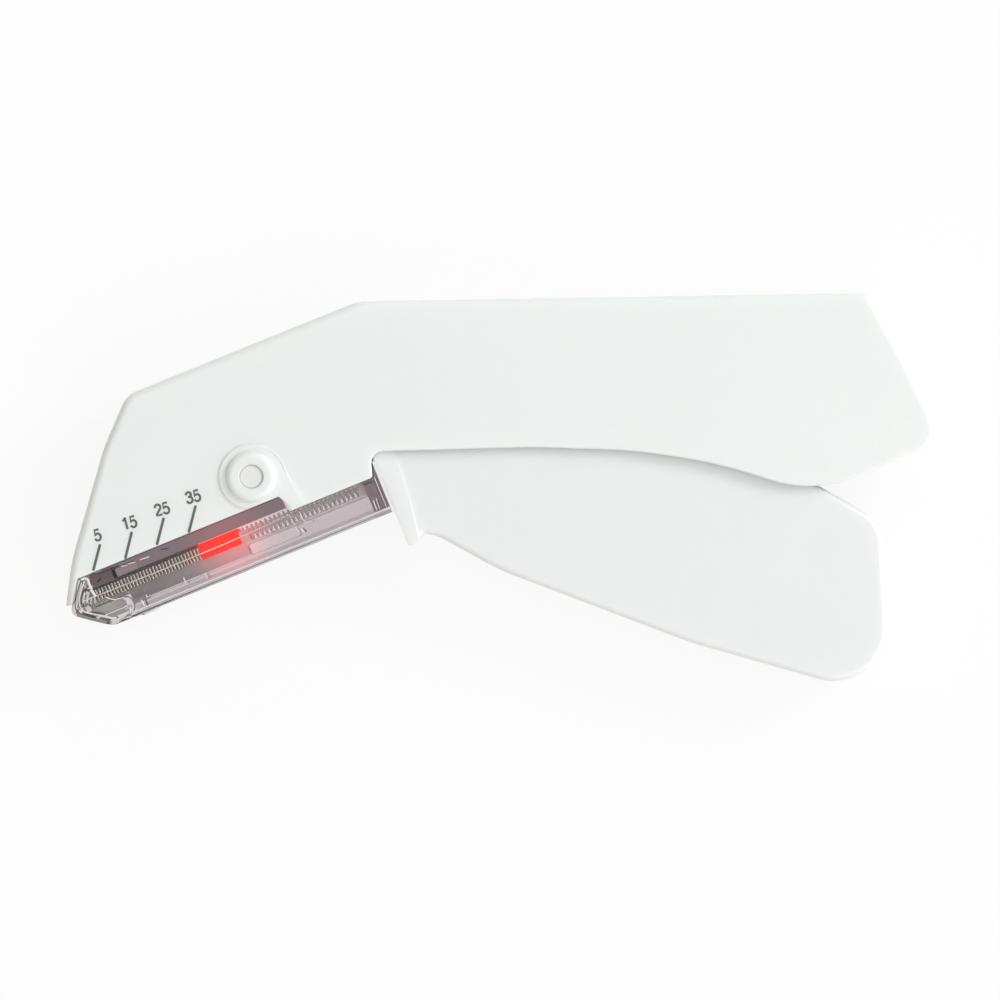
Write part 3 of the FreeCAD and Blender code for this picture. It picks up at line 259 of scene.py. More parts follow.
body_white = moulded_plastic("body_white", (0.88, 0.90, 0.895), (0.86, 0.885, 0.88), 0.42, soft=0.4)
handle_white = moulded_plastic("handle_white", (0.88, 0.885, 0.89), (0.86, 0.868, 0.875), 0.42, soft=0.45)
pin_white = moulded_plastic("pin_white", (0.84, 0.845, 0.83), (0.80, 0.81, 0.80), 0.35)
slide_white = moulded_plastic("slide_white", (0.75, 0.76, 0.78), (0.70, 0.72, 0.74), 0.5)
# The follower's red carries a painted glow.
signal_red = moulded_plastic("signal_red", (1.0, 0.012, 0.001), (0.95, 0.010, 0.001), 0.5,
                             specular=0.05, glow=0.42)

# %% [markdown]
# The cartridge is clear polycarbonate with a smoky plum tint. The tint is in the plastic itself: a Volume
# Absorption node darkens light along its way, so thin walls stay clear and the thick roof, seen across its
# whole width, is dark. A faint orange-peel on the skin and slow waves in the gloss bend the highlights.

# %% Smoky clear plastic
# The red round the follower is a painted glow: emission in the clear plastic that fades with the distance
# from it.
GLOW_PLACE = picture_point(228, 535, height=12 * MM)
GLOW_CORE, GLOW_REACH = 2.5 * MM, 11 * MM
GLOW_RED = (1.0, 0.03, 0.01, 1)


def painted_red_glow(tree, place, skin, strength):
    """A painted red glow in the clear plastic round the follower, for the light of the fluorescent red
    follower.
    """
    away = tree.nodes.new("ShaderNodeVectorMath")
    away.operation = "DISTANCE"
    away.inputs[1].default_value = GLOW_PLACE
    fall = add_node(tree, "MapRange", From_Min=GLOW_CORE, From_Max=GLOW_REACH)
    fall.inputs["To Min"].default_value = 1.0
    fall.inputs["To Max"].default_value = 0.0
    fall.interpolation_type = "SMOOTHSTEP"
    tone = tree.nodes.new("ShaderNodeMix")
    tone.data_type = "RGBA"
    tone.inputs["A"].default_value = (0, 0, 0, 1)
    tone.inputs["B"].default_value = GLOW_RED
    wire(tree, place, "Object", away, 0)
    wire(tree, away, "Value", fall, "Value")
    wire(tree, fall, "Result", tone, 0)
    wire(tree, tone, "Result", skin, "Emission Color")
    skin.inputs["Emission Strength"].default_value = strength


def clear_plastic(name, colour, shade, roughness, smoke, density, through=0.97, red=0.0):
    """Clear plastic with its smoke in the volume, and a painted red glow if red is given. A small share of
    the light scatters at its skin.
    """
    material, tree, out = new_material(name)
    skin = add_node(tree, "BsdfPrincipled", Roughness=roughness, IOR=1.45)
    skin.inputs["Transmission Weight"].default_value = through
    skin.inputs["Specular IOR Level"].default_value = 0.06
    place = tree.nodes.new("ShaderNodeTexCoord")
    if red:
        painted_red_glow(tree, place, skin, red)
    clouds = add_node(tree, "TexNoise", Scale=160.0, Detail=3.0, Roughness=0.5)
    tint = drift(tree, clouds, shade, colour)
    bump = add_node(tree, "Bump", Strength=0.08, Distance=0.1 * MM)
    fog = add_node(tree, "VolumeAbsorption", Color=(*smoke, 1), Density=density)
    wire(tree, place, "Object", clouds, "Vector")
    wire(tree, tint, "Result", skin, "Base Color")
    wire(tree, clouds, "Fac", bump, "Height")
    wire(tree, bump, "Normal", skin, "Normal")
    wire(tree, skin, "BSDF", out, "Surface")
    wire(tree, fog, "Volume", out, "Volume")
    return material


smoky_clear = clear_plastic("smoky_clear", (0.97, 0.945, 0.955), (0.92, 0.89, 0.90), 0.04,
                            smoke=(0.44, 0.33, 0.37), density=160.0, through=0.993, red=0.16)
base_clear = clear_plastic("base_clear", (0.97, 0.955, 0.96), (0.92, 0.90, 0.91), 0.05,
                           smoke=(0.44, 0.36, 0.39), density=18.0, red=0.08)
nose_clear = clear_plastic("nose_clear", (0.98, 0.96, 0.96), (0.93, 0.91, 0.91), 0.05,
                           smoke=(0.5, 0.45, 0.42), density=45.0)

# %% [markdown]
# Staples, springs and the sheet parts are steel. Fine lines along the drawn wire or rolled sheet, and a
# colour that drifts between grey and a warm tan, give it its look under the clear wall. The track is given
# a second, lighter colour, which takes over behind the follower, where the picture shows it paler.

# %% Steel
LINE_STRETCH = 0.12               # the lines' scale along the sheet over the scale across it
# The paler rear colour of the track is painted light, taking over towards the heel.
PALE_FROM, PALE_AT = -60 * MM, -44 * MM


def steel(name, colour, shade, roughness, lines=900.0, metal=1.0, rear=None, glow=0.0):
    """Drawn or rolled steel, with a paler colour of painted light to the rear if one is given."""
    material, tree, out = new_material(name)
    skin = add_node(tree, "BsdfPrincipled", Metallic=metal, Roughness=roughness)
    skin.inputs["Emission Color"].default_value = (*colour, 1)
    skin.inputs["Emission Strength"].default_value = glow
    place = tree.nodes.new("ShaderNodeTexCoord")
    stretch = add_node(tree, "Mapping", Scale=(lines, lines * LINE_STRETCH, lines))
    streaks = add_node(tree, "TexNoise", Scale=1.0, Detail=4.0, Roughness=0.6)
    tint = drift(tree, streaks, shade, colour)
    bump = add_node(tree, "Bump", Strength=0.05, Distance=0.05 * MM)
    wire(tree, place, "Object", stretch, "Vector")
    wire(tree, stretch, 0, streaks, "Vector")
    wire(tree, tint, "Result", skin, "Base Color")
    if rear:
        parts = tree.nodes.new("ShaderNodeSeparateXYZ")
        along = add_node(tree, "MapRange", From_Min=PALE_FROM, From_Max=PALE_AT)
        lighter = tree.nodes.new("ShaderNodeMix")
        lighter.data_type = "RGBA"
        lighter.inputs["B"].default_value = (*rear, 1)
        wire(tree, place, "Object", parts, 0)
        wire(tree, parts, "X", along, "Value")
        wire(tree, along, "Result", lighter, 0)
        wire(tree, tint, "Result", lighter, "A")
        wire(tree, lighter, "Result", skin, "Base Color")
    wire(tree, streaks, "Fac", bump, "Height")
    wire(tree, bump, "Normal", skin, "Normal")
    wire(tree, skin, "BSDF", out, "Surface")
    return material


sheet_steel = steel("sheet_steel", (0.62, 0.60, 0.57), (0.48, 0.46, 0.44), 0.3)
track_steel = steel("track_steel", (0.46, 0.45, 0.44), (0.38, 0.37, 0.37), 0.42, lines=300.0, metal=0.7,
                    rear=(0.80, 0.74, 0.76))
wire_steel = steel("wire_steel", (0.80, 0.74, 0.64), (0.64, 0.58, 0.49), 0.3, metal=0.5)
# The springs' wire carries a painted glow, which brightens the coils.
spring_steel = steel("spring_steel", (0.95, 0.90, 0.91), (0.86, 0.81, 0.82), 0.3, metal=0.2, glow=0.13)

# %% [markdown]
# The CAD pieces keep their shapes and places. Only their material slots are filled, a finish at a time.

# %% Finishes of the CAD pieces
finishes = {
    body_white: ["left_housing", "right_housing"],
    handle_white: ["trigger"],
    pin_white: ["trigger_pivot_pin"],
    slide_white: ["former_carrier"],
    signal_red: ["follower"],
    smoky_clear: ["cartridge_body", "cartridge_end_plug"],
    base_clear: ["cartridge_base"],
    nose_clear: ["nose_guide"],
    sheet_steel: ["former", "anvil", "ejector_spring"],
    track_steel: ["staple_track"],
    spring_steel: ["spring_guide_rod"],
}
for finish, names in finishes.items():
    for name in names:
        for place in nodes[name].material_slots:
            place.material = finish
        print(name, "->", finish.name)

# %% [markdown]
# The cartridge rises to the right by 22.2 degrees. Its own frame has its origin at the start of the row of
# staples, with s running back along the track, t up and the third way across the stapler's thickness.

# %% Frame of the cartridge
ROW_START = Vector((-73.2, -18.2, 9.5)) * MM
ROW_TURN = Matrix.Translation(ROW_START) @ Matrix.Rotation(radians(22.2), 4, "Z")


def ready(name):
    """Leaves edit mode and gives the new object its name."""
    if bpy.context.object.mode == "EDIT":
        bpy.ops.object.mode_set(mode="OBJECT")
    piece = bpy.context.object
    piece.name = name
    piece.data.name = name
    return piece


def settle(piece, place=Matrix.Identity(4)):
    """Bakes a piece's place into its mesh, after another turn or shift, so its object is at the origin."""
    bpy.context.view_layer.update()
    piece.data.transform(place @ piece.matrix_world)
    piece.matrix_world = Matrix.Identity(4)
    return piece


def pick(*pieces):
    """Selects only these pieces and makes the first one active."""
    bpy.ops.object.select_all(action="DESELECT")
    for piece in pieces:
        piece.select_set(True)
    bpy.context.view_layer.objects.active = pieces[0]


def finish_piece(piece, material, body, smooth=None):
    """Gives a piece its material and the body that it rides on."""
    pick(piece)
    if smooth is not None:
        bpy.ops.object.shade_smooth_by_angle(angle=radians(smooth))
    piece.data.materials.clear()
    piece.data.materials.append(material)
    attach(piece, body)
    return piece


# %% [markdown]
# A staple is a round wire of 0.6 mm with a leg on each side and a crown 12.4 mm wide. It is drawn as a
# small disc that is extruded up one leg, spun round the corner, extruded across and so on to the other foot.

# %% One staple
WIRE = 0.42 * MM              # a little under the pitch, so the gaps between staples stay dark
PITCH = 0.60 * MM
CROWN = 12.4 * MM
LEG = 2.6 * MM
BEND = 0.30 * MM              # radius of the wire's middle line at each corner
WIRE_SIDES = 10
BEND_STEPS = 4


def extrude_by(step):
    bpy.ops.mesh.extrude_region_move(TRANSFORM_OT_translate={"value": step})


def draw_staple(name):
    """A staple in the cartridge's frame: its crown runs along Z, with the top of the crown at t = 0."""
    bpy.ops.object.select_all(action="DESELECT")
    half = CROWN / 2 - WIRE / 2
    bpy.ops.mesh.primitive_circle_add(vertices=WIRE_SIDES, radius=WIRE / 2, fill_type="NGON",
                                      location=(0, -LEG, -half), rotation=(radians(-90), 0, 0))
    bpy.ops.object.mode_set(mode="EDIT")
    bpy.ops.mesh.select_all(action="SELECT")
    rise = LEG - WIRE / 2 - BEND
    shoulder = -WIRE / 2 - BEND
    extrude_by((0, rise, 0))
    bpy.ops.mesh.spin(steps=BEND_STEPS, angle=pi / 2, center=(0, shoulder, -half + BEND), axis=(1, 0, 0))
    extrude_by((0, 0, 2 * (half - BEND)))
    bpy.ops.mesh.spin(steps=BEND_STEPS, angle=pi / 2, center=(0, shoulder, half - BEND), axis=(1, 0, 0))
    extrude_by((0, -rise, 0))
    bpy.ops.mesh.select_all(action="SELECT")
    bpy.ops.mesh.remove_doubles(threshold=0.001 * MM)
    bpy.ops.mesh.normals_make_consistent(inside=False)
    return settle(ready(name))


pattern = draw_staple("front_staple_wire")
corners = [v.co for v in pattern.data.vertices]
spans = [max(c[i] for c in corners) - min(c[i] for c in corners) for i in range(3)]
print("staple", [round(span / MM, 2) for span in spans], "mm")

# %% [markdown]
# The waiting staples stand wire to wire. The pattern is copied once for each, with its own mesh, and the
# copies are joined into one piece that stands for the CAD model's row.

# %% Waiting staples
WAITING = 34
FIRST_WAITING = 1.35 * MM
FRONT_SHIFT = -0.1 * MM           # the front staple lies this far ahead of the row's start
row = []
for i in range(WAITING):
    copy = pattern.copy()
    copy.data = pattern.data.copy()
    bpy.context.collection.objects.link(copy)
    copy.data.transform(Matrix.Translation((FIRST_WAITING + i * PITCH, 0, 0)))
    row.append(copy)
pick(*row)
bpy.ops.object.join()
stack = settle(ready("staple_row"), ROW_TURN)
finish_piece(stack, wire_steel, "housing", smooth=40)
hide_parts("staple_stack")
pattern.data.transform(ROW_TURN @ Matrix.Translation((FRONT_SHIFT, 0, 0)))
finish_piece(pattern, wire_steel, "housing", smooth=40)
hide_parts("front_staple")
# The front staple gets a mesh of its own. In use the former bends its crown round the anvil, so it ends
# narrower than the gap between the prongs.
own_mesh(pattern)

# %% [markdown]
# A thin dark film lies behind the legs and crowns of the staples as painted shade. It fills the gaps between
# the staples, so the gaps look dark.

# %% Film of painted shade
film = steel("painted_shade_film", (0.10, 0.085, 0.075), (0.06, 0.05, 0.045), 0.5, metal=0.0)
FILM_START, FILM_END = 1.1 * MM, 21.3 * MM
FILM_TOP, FILM_CROWN, FILM_FOOT = 0.11 * MM, 0.3 * MM, -2.5 * MM
FILM_SHOULDER = FILM_TOP - FILM_CROWN         # where the crowns' sheet ends and the legs' sheets begin
FILM_SIDE, FILM_THICK = 5.95 * MM, 0.12 * MM


def film_sheet(low, high):
    """A flat box between two corners, in the cartridge's frame."""
    low, high = Vector(low), Vector(high)
    bpy.ops.object.select_all(action="DESELECT")
    bpy.ops.mesh.primitive_cube_add(size=1, location=(low + high) / 2)
    bpy.ops.object.mode_set(mode="EDIT")
    bpy.ops.mesh.select_all(action="SELECT")
    bpy.ops.transform.resize(value=high - low)
    return settle(ready("film"))


sheets = [
    film_sheet((FILM_START, FILM_SHOULDER, -FILM_SIDE), (FILM_END, FILM_TOP, FILM_SIDE)),
    film_sheet((FILM_START, FILM_FOOT, FILM_SIDE - FILM_THICK), (FILM_END, FILM_SHOULDER, FILM_SIDE)),
    film_sheet((FILM_START, FILM_FOOT, -FILM_SIDE), (FILM_END, FILM_SHOULDER, FILM_THICK - FILM_SIDE)),
]
pick(*sheets)
bpy.ops.object.join()
gap_shade = settle(ready("painted_shade_film"), ROW_TURN)
finish_piece(gap_shade, film, "housing")
print("glue film:", len(gap_shade.data.polygons), "faces")

# %% [markdown]
# Both springs are coils of round wire. A circle is set at the coil's radius and a Screw modifier winds it
# up. The first and last turns lie close, as on real compression springs, so three coils are joined.

# %% Coil springs
CLOSED_TURN = 2.05                # rise of a closed turn, in radii of the wire


def wind(radius, wire_radius, sides, start, rise, turns, steps):
    """A stretch of coil about Z from start, whose wire begins where it stands after whole turns."""
    bpy.ops.object.select_all(action="DESELECT")
    bpy.ops.mesh.primitive_circle_add(vertices=sides, radius=wire_radius, fill_type="NOTHING",
                                      location=(radius, 0, start), rotation=(radians(90), 0, 0))
    piece = settle(bpy.context.object)
    screw = piece.modifiers.new("coil", "SCREW")
    screw.axis = "Z"
    screw.screw_offset = rise
    screw.iterations = turns
    screw.steps = steps
    screw.render_steps = steps
    screw.use_merge_vertices = False
    screw.use_normal_calculate = True
    bpy.context.view_layer.objects.active = piece
    bpy.ops.object.modifier_apply(modifier=screw.name)
    return piece


def coil_spring(name, length, radius, wire_radius, turns, sides=8, steps=20):
    """A compression spring along X from the origin, closed at both ends."""
    closed = wire_radius * CLOSED_TURN
    pitch = (length - 2 * wire_radius - 2 * closed) / (turns - 2)
    low = wind(radius, wire_radius, sides, wire_radius, closed, 1, steps)
    mid = wind(radius, wire_radius, sides, wire_radius + closed, pitch, turns - 2, steps)
    top = wind(radius, wire_radius, sides, length - wire_radius - closed, closed, 1, steps)
    pick(mid, low, top)
    bpy.ops.object.join()
    bpy.ops.object.mode_set(mode="EDIT")
    bpy.ops.mesh.select_all(action="SELECT")
    bpy.ops.mesh.remove_doubles(threshold=0.01 * MM)
    bpy.ops.mesh.select_all(action="DESELECT")
    bpy.ops.mesh.select_non_manifold(extend=False, use_wire=False, use_multi_face=False,
                                     use_non_contiguous=False, use_verts=False)
    bpy.ops.mesh.fill_holes(sides=sides)
    bpy.ops.mesh.select_all(action="SELECT")
    bpy.ops.mesh.normals_make_consistent(inside=False)
    return settle(ready(name), Matrix.Rotation(radians(90), 4, "Y"))


FOLLOWER_BACK = 28.9 * MM     # rear face of the red follower along the row
PLUG_FACE = 52.5 * MM
ROD_DROP = 1.4 * MM
COIL_PLAY = 0.05 * MM         # gap at each end of the coil
follower_coil = coil_spring("follower_coil", PLUG_FACE - FOLLOWER_BACK - 2 * COIL_PLAY,
                            radius=1.2 * MM, wire_radius=0.175 * MM, turns=28)
follower_coil.data.transform(ROW_TURN @ Matrix.Translation((FOLLOWER_BACK + COIL_PLAY, -ROD_DROP, 0)))
finish_piece(follower_coil, spring_steel, "housing", smooth=50)
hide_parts("follower_spring")
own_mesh(follower_coil)

SPRING_PLACE, SPRING_LOW, SPRING_HIGH = 50.0 * MM, 11.55 * MM, 25.55 * MM
return_coil = coil_spring("return_coil", SPRING_HIGH - SPRING_LOW,
                          radius=2.5 * MM, wire_radius=0.35 * MM, turns=8)
stand = Matrix.Translation((SPRING_PLACE, SPRING_LOW, 0)) @ Matrix.Rotation(radians(90), 4, "Z")
return_coil.data.transform(ROW_TURN @ stand)
finish_piece(return_coil, spring_steel, "housing", smooth=50)
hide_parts("return_spring")
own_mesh(return_coil)
for coil in (follower_coil, return_coil):
    print(coil.name, len(coil.data.polygons), "faces")

# %% [markdown]
# The clear mouldings carry many fine raised lines: the rim of the long panel, the edge of the nose's cheek,
# ribs and the flange's steps. They show as thin bright lines, painted highlights in a pale and nearly opaque
# finish, and the dark lines are painted shade. Each is drawn as a row of points, turned into a curve with a
# round section and back into a mesh. Wide ones are pressed flat on the face.

# %% Finishes of the fine lines
painted_highlight_line = clear_plastic("painted_highlight_line", (0.98, 0.95, 0.97), (0.92, 0.88, 0.91), 0.1,
                           smoke=(0.9, 0.88, 0.9), density=5.0, through=0.15)
painted_shade_line = clear_plastic("painted_shade_line", (0.16, 0.12, 0.15), (0.10, 0.08, 0.10), 0.2,
                          smoke=(0.4, 0.3, 0.4), density=50.0, through=0.3)
cheek_smoke = clear_plastic("cheek_smoke", (0.22, 0.165, 0.185), (0.15, 0.11, 0.125), 0.3,
                            smoke=(0.44, 0.36, 0.39), density=200.0, through=0.25)
wall_smoke = clear_plastic("wall_smoke", (0.42, 0.35, 0.40), (0.36, 0.30, 0.34), 0.3,
                           smoke=(0.5, 0.45, 0.5), density=20.0, through=0.4)
finger_light = steel("finger_light", (0.66, 0.63, 0.60), (0.54, 0.51, 0.49), 0.35, metal=0.1)
base_tan = steel("base_tan", (0.30, 0.265, 0.225), (0.24, 0.21, 0.18), 0.4, metal=0.0)

# %% [markdown]
# A line is given as points of the picture on the cartridge's side face, and is repeated on the far side
# unless only this side has it.

# %% Drawing a fine line
CARTRIDGE_FACE = 17.2 * MM
MIDDLE = 9.5 * MM
LINE_FLAT = 1.2               # lines wider than this, in pixels, are pressed flat to this height


def draw_line(name, points, radius):
    """A thin rod through the points, sunk to its middle in the face that it lies on."""
    bpy.ops.object.select_all(action="DESELECT")
    bpy.ops.mesh.primitive_plane_add(size=MM, location=(0, 0, 0))
    bpy.ops.object.mode_set(mode="EDIT")
    bpy.ops.mesh.select_all(action="SELECT")
    bpy.ops.mesh.merge(type="CENTER")
    bpy.ops.transform.translate(value=points[0])
    for start, end in zip(points, points[1:]):
        extrude_by(end - start)
    bpy.ops.object.mode_set(mode="OBJECT")
    bpy.ops.object.convert(target="CURVE")
    curve = bpy.context.object.data
    curve.bevel_depth = radius
    curve.bevel_resolution = 1
    curve.use_fill_caps = True
    bpy.ops.object.convert(target="MESH")
    return settle(ready(name))


def far_side(points):
    """The same points on the other side of the stapler."""
    return [Vector((p.x, p.y, 2 * MIDDLE - p.z)) for p in points]


def clear_line(name, marks, pixels, finish=painted_highlight_line, height=CARTRIDGE_FACE, both=True):
    """A moulded line through points of the picture, of a width in its pixels, on both sides of the part."""
    points = [picture_point(across, down, height) for across, down in marks]
    sides = [("left", points), ("right", far_side(points))] if both else [("left", points)]
    for side, path in sides:
        line = draw_line(name + "_" + side, path, pixels * PIXEL / 2)
        if pixels > LINE_FLAT:
            level = Matrix.Translation((0, 0, path[0].z))
            settle(line, level @ Matrix.Diagonal((1, 1, LINE_FLAT / pixels, 1)) @ level.inverted())
        finish_piece(line, finish, "housing", smooth=60)


# %% [markdown]
# The long panel on the side wall has a raised rim. In front of it the roof's smoke reaches down on the
# cheek, and the nose has a rib, steel fingers over a bright plate and a small eye. The cheek's lower edge is
# wavy, and the nose's fronts lie nested behind one another.

# %% Lines of the panel and the nose
clear_line("roof_cheek", [(91.3, 582.1), (112.4, 573.5)], 13.4, cheek_smoke)
clear_line("panel_rim", [(95.7, 596.2), (160, 570.7), (226, 543.5), (289.4, 514.6), (299.7, 534.7),
                         (242.3, 558.3), (204.3, 574.0), (146, 597.6)], 0.9)
clear_line("nose_rib", [(81.0, 579.4), (85.3, 578.2), (87.9, 579.6), (89.4, 584.8), (92.2, 591.4),
                        (95.2, 596.2)], 2.6)
clear_line("panel_rim_nose", [(83.5, 601.2), (95.7, 596.2)], 0.9)
clear_line("nose_window_arc", [(83.0, 592.4), (85.0, 590.2), (88.9, 590.6)], 1.5, painted_shade_line)
clear_line("nose_finger_a", [(84.6, 592.6), (83.3, 598.0), (82.9, 603.0)], 2.3, finger_light)
clear_line("nose_finger_b", [(88.6, 592.2), (87.4, 596.6), (86.9, 603.0)], 2.3, finger_light)
clear_line("nose_finger_c", [(91.2, 596.6), (90.6, 604.4)], 1.5, finger_light)
clear_line("nose_finger_d", [(94.4, 597.4), (94.8, 603.2)], 1.5, finger_light)
clear_line("nose_plate", [(86.4, 609.8), (91.0, 607.8)], 6.0, finger_light)
clear_line("nose_gap_a", [(83.4, 604.2), (83.4, 606.8)], 1.6, painted_shade_line)
clear_line("nose_gap_b", [(89.4, 604.4), (90.4, 606.6)], 1.6, painted_shade_line)
clear_line("nose_plate_dark", [(91.4, 612.2), (98.0, 613.2), (105.0, 614.8)], 1.4, painted_shade_line)
clear_line("nose_eye_rim", [(124.4, 606.8), (126.4, 605.9), (127.9, 607.2), (126.8, 609.2),
                            (124.9, 608.8)], 1.0)
clear_line("nose_eye", [(125.8, 607.4), (126.6, 607.9)], 1.3, painted_shade_line)
clear_line("nose_under", [(76.8, 614.6), (90.0, 618.4), (106.6, 622.4)], 3.4, base_tan)
clear_line("wall_front", [(133.4, 601.6), (146.0, 596.6)], 4.6, wall_smoke)
clear_line("cheek_rim", [(106.0, 597.0), (108.3, 598.1), (111.9, 599.4), (114.9, 599.7), (119.0, 598.4),
                         (123.1, 597.8), (126.7, 599.6), (129.2, 603.2), (130.5, 606.4), (130.0, 610.3),
                         (128.2, 615.2)], 1.2)
clear_line("nose_step", [(105.2, 615.2), (112.0, 612.4), (119.5, 609.0), (127.6, 606.4)], 1.1)
clear_line("nose_front_inner", [(84.6, 581.0), (81.5, 590.0), (79.0, 600.0), (80.0, 607.0),
                                (84.6, 612.0)], 1.2)
clear_line("nose_front_dark", [(81.5, 579.0), (78.0, 590.0), (74.9, 603.0), (75.6, 609.2), (79.6, 613.3),
                               (95.0, 618.6), (108.4, 623.4)], 0.9, painted_shade_line)
clear_line("nose_sill", [(84.6, 612.0), (94.0, 614.2), (105.2, 615.8), (113.0, 618.4), (117.4, 620.8)], 1.4)
clear_line("nose_heel", [(117.6, 619.6), (126.8, 615.4)], 1.8)
clear_line("nose_window_dark", [(95.0, 589.9), (84.8, 589.4), (82.2, 596.0), (81.3, 604.0)], 0.9, painted_shade_line)

# %% [markdown]
# Behind the nose a rib stands inside the lower wall, and small marks lie along the panel's foot. The base's
# flange shows as two bright steps of painted highlight with a dark one of painted shade between. The thick
# roof has light and dark flecks on its near side, painted highlights and painted shade.

# %% Lines of the walls, the flange and the roof
clear_line("wall_rib_front", [(141.0, 599.6), (144.6, 606.4)], 1.7)
clear_line("wall_mark_a", [(146.0, 594.6), (147.2, 597.4)], 1.2)
clear_line("wall_mark_b", [(183.4, 577.4), (186.0, 583.6)], 1.2)
clear_line("wall_mark_c", [(204.6, 573.0), (207.2, 578.6)], 1.0)
clear_line("flange_top", [(133.0, 613.6), (215.0, 580.1), (300.0, 545.4), (390.0, 508.7)], 0.9)
clear_line("flange_low", [(114.0, 624.6), (215.0, 583.4), (300.0, 548.7), (390.0, 512.0)], 1.1)
clear_line("flange_dark", [(131.0, 616.2), (215.0, 581.8), (300.0, 547.1), (390.0, 510.4)], 0.7, painted_shade_line)
clear_line("roof_highlight_a", [(139.7, 559.9), (149.3, 556.7)], 1.2, both=False)
clear_line("roof_highlight_b", [(127.6, 563.9), (135.3, 562.2)], 1.1, both=False)
clear_line("roof_highlight_c", [(121.0, 566.4), (127.0, 565.2)], 0.9, both=False)
clear_line("roof_shade_d", [(97.6, 582.2), (100.8, 578.4)], 1.9, painted_shade_line, both=False)
clear_line("roof_shade_e", [(97.6, 574.4), (104.6, 572.0), (111.0, 569.6), (118.7, 565.4)], 1.5, painted_shade_line,
           both=False)
clear_line("roof_shade_f", [(161.0, 549.6), (168.5, 548.2)], 1.3, painted_shade_line, both=False)

# %% [markdown]
# At the rear are the plug's edges, the bars of its latch and a U-shaped rib behind the panel.

# %% Lines of the rear
clear_line("rear_edge_outer", [(374.4, 477.4), (386.8, 507.8)], 0.9)
clear_line("rear_edge_inner", [(371.4, 479.0), (383.4, 507.0)], 0.45, wall_smoke)
clear_line("latch_bar_a", [(373.2, 500.4), (377.0, 510.6)], 1.3)
clear_line("latch_bar_b", [(376.0, 498.4), (379.6, 508.8)], 0.9)
clear_line("stop_rib", [(299.4, 512.0), (303.0, 519.4), (306.0, 522.4), (312.6, 521.0)], 1.1)
clear_line("stop_mark", [(301.0, 528.6), (304.2, 532.0)], 1.8)

# %% [markdown]
# A low step in the white body runs round the pivot's pad and down to the notch. It shows as one fine line
# with a bright side, drawn as a glowing line of painted highlight beside a grey line of painted shade. A thin
# ring closes most of the gap between the pin and its bore.

# %% Step of the pad and seat of the pin
painted_step_highlight = moulded_plastic("painted_step_highlight", (0.93, 0.94, 0.935), (0.91, 0.92, 0.915), 0.42, glow=0.12)
step_shade = moulded_plastic("step_shade", (0.70, 0.70, 0.69), (0.67, 0.67, 0.66), 0.5)
PAD_STEP = [(243.0, 447.6), (250.8, 445.3), (258.0, 445.6), (264.7, 447.5), (270.5, 450.6), (275.0, 454.2),
            (279.4, 459.2), (283.0, 465.2), (290.4, 482.6), (300.2, 504.0)]
STEP_LINES = [                    # name, finish, then the shift off the step and the width in pixels
    ("pad_step", painted_step_highlight, 0.5, 0.9),
    ("pad_step_shade", step_shade, -0.4, 0.55),
]
SHIFT_SLOPE = 0.3                 # a line shifts up by this share of its shift to the right
for name, finish, shift, pixels in STEP_LINES:
    marks = [picture_point(across + shift, down - shift * SHIFT_SLOPE) for across, down in PAD_STEP]
    finish_piece(draw_line(name, marks, pixels * PIXEL / 2), finish, "housing", smooth=60)
PIN_GAP, PIN_SEAT = 2.10 * MM, 0.075 * MM
pin_low, pin_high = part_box("trigger_pivot_pin")
pin_x, pin_y = (pin_low[0] + pin_high[0]) / 2, (pin_low[1] + pin_high[1]) / 2
bpy.ops.object.select_all(action="DESELECT")
bpy.ops.mesh.primitive_torus_add(location=(pin_x, pin_y, pin_high[2] - 2 * PIN_SEAT), major_radius=PIN_GAP,
                                 minor_radius=PIN_SEAT, major_segments=96, minor_segments=10)
print("pin at", round(pin_x / MM, 2), round(pin_y / MM, 2))
finish_piece(settle(ready("pin_seat")), pin_white, "housing", smooth=60)

# %% [markdown]
# The scale over the cartridge counts the staples that are left: a slanted line and a number at 5, 15, 25
# and 35. The real ones are pad printed, so they are a film of dark grey ink on the body's face.

# %% Ink
ink, tree, out = new_material("scale_ink")
skin = add_node(tree, "BsdfPrincipled", Roughness=0.5, IOR=1.45)
place = tree.nodes.new("ShaderNodeTexCoord")
speck = add_node(tree, "TexNoise", Scale=3500.0, Detail=3.0, Roughness=0.6)
tint = drift(tree, speck, (0.115, 0.115, 0.11), (0.15, 0.15, 0.145))
wire(tree, place, "Object", speck, "Vector")
wire(tree, tint, "Result", skin, "Base Color")
wire(tree, skin, "BSDF", out, "Surface")
print("ink:", ink.name)

# %% [markdown]
# A tick is a flat bar with rounded corners. A digit is a set of strokes in a box one unit high, drawn as
# round rods like the fine lines, joined, turned with the scale and pressed flat.

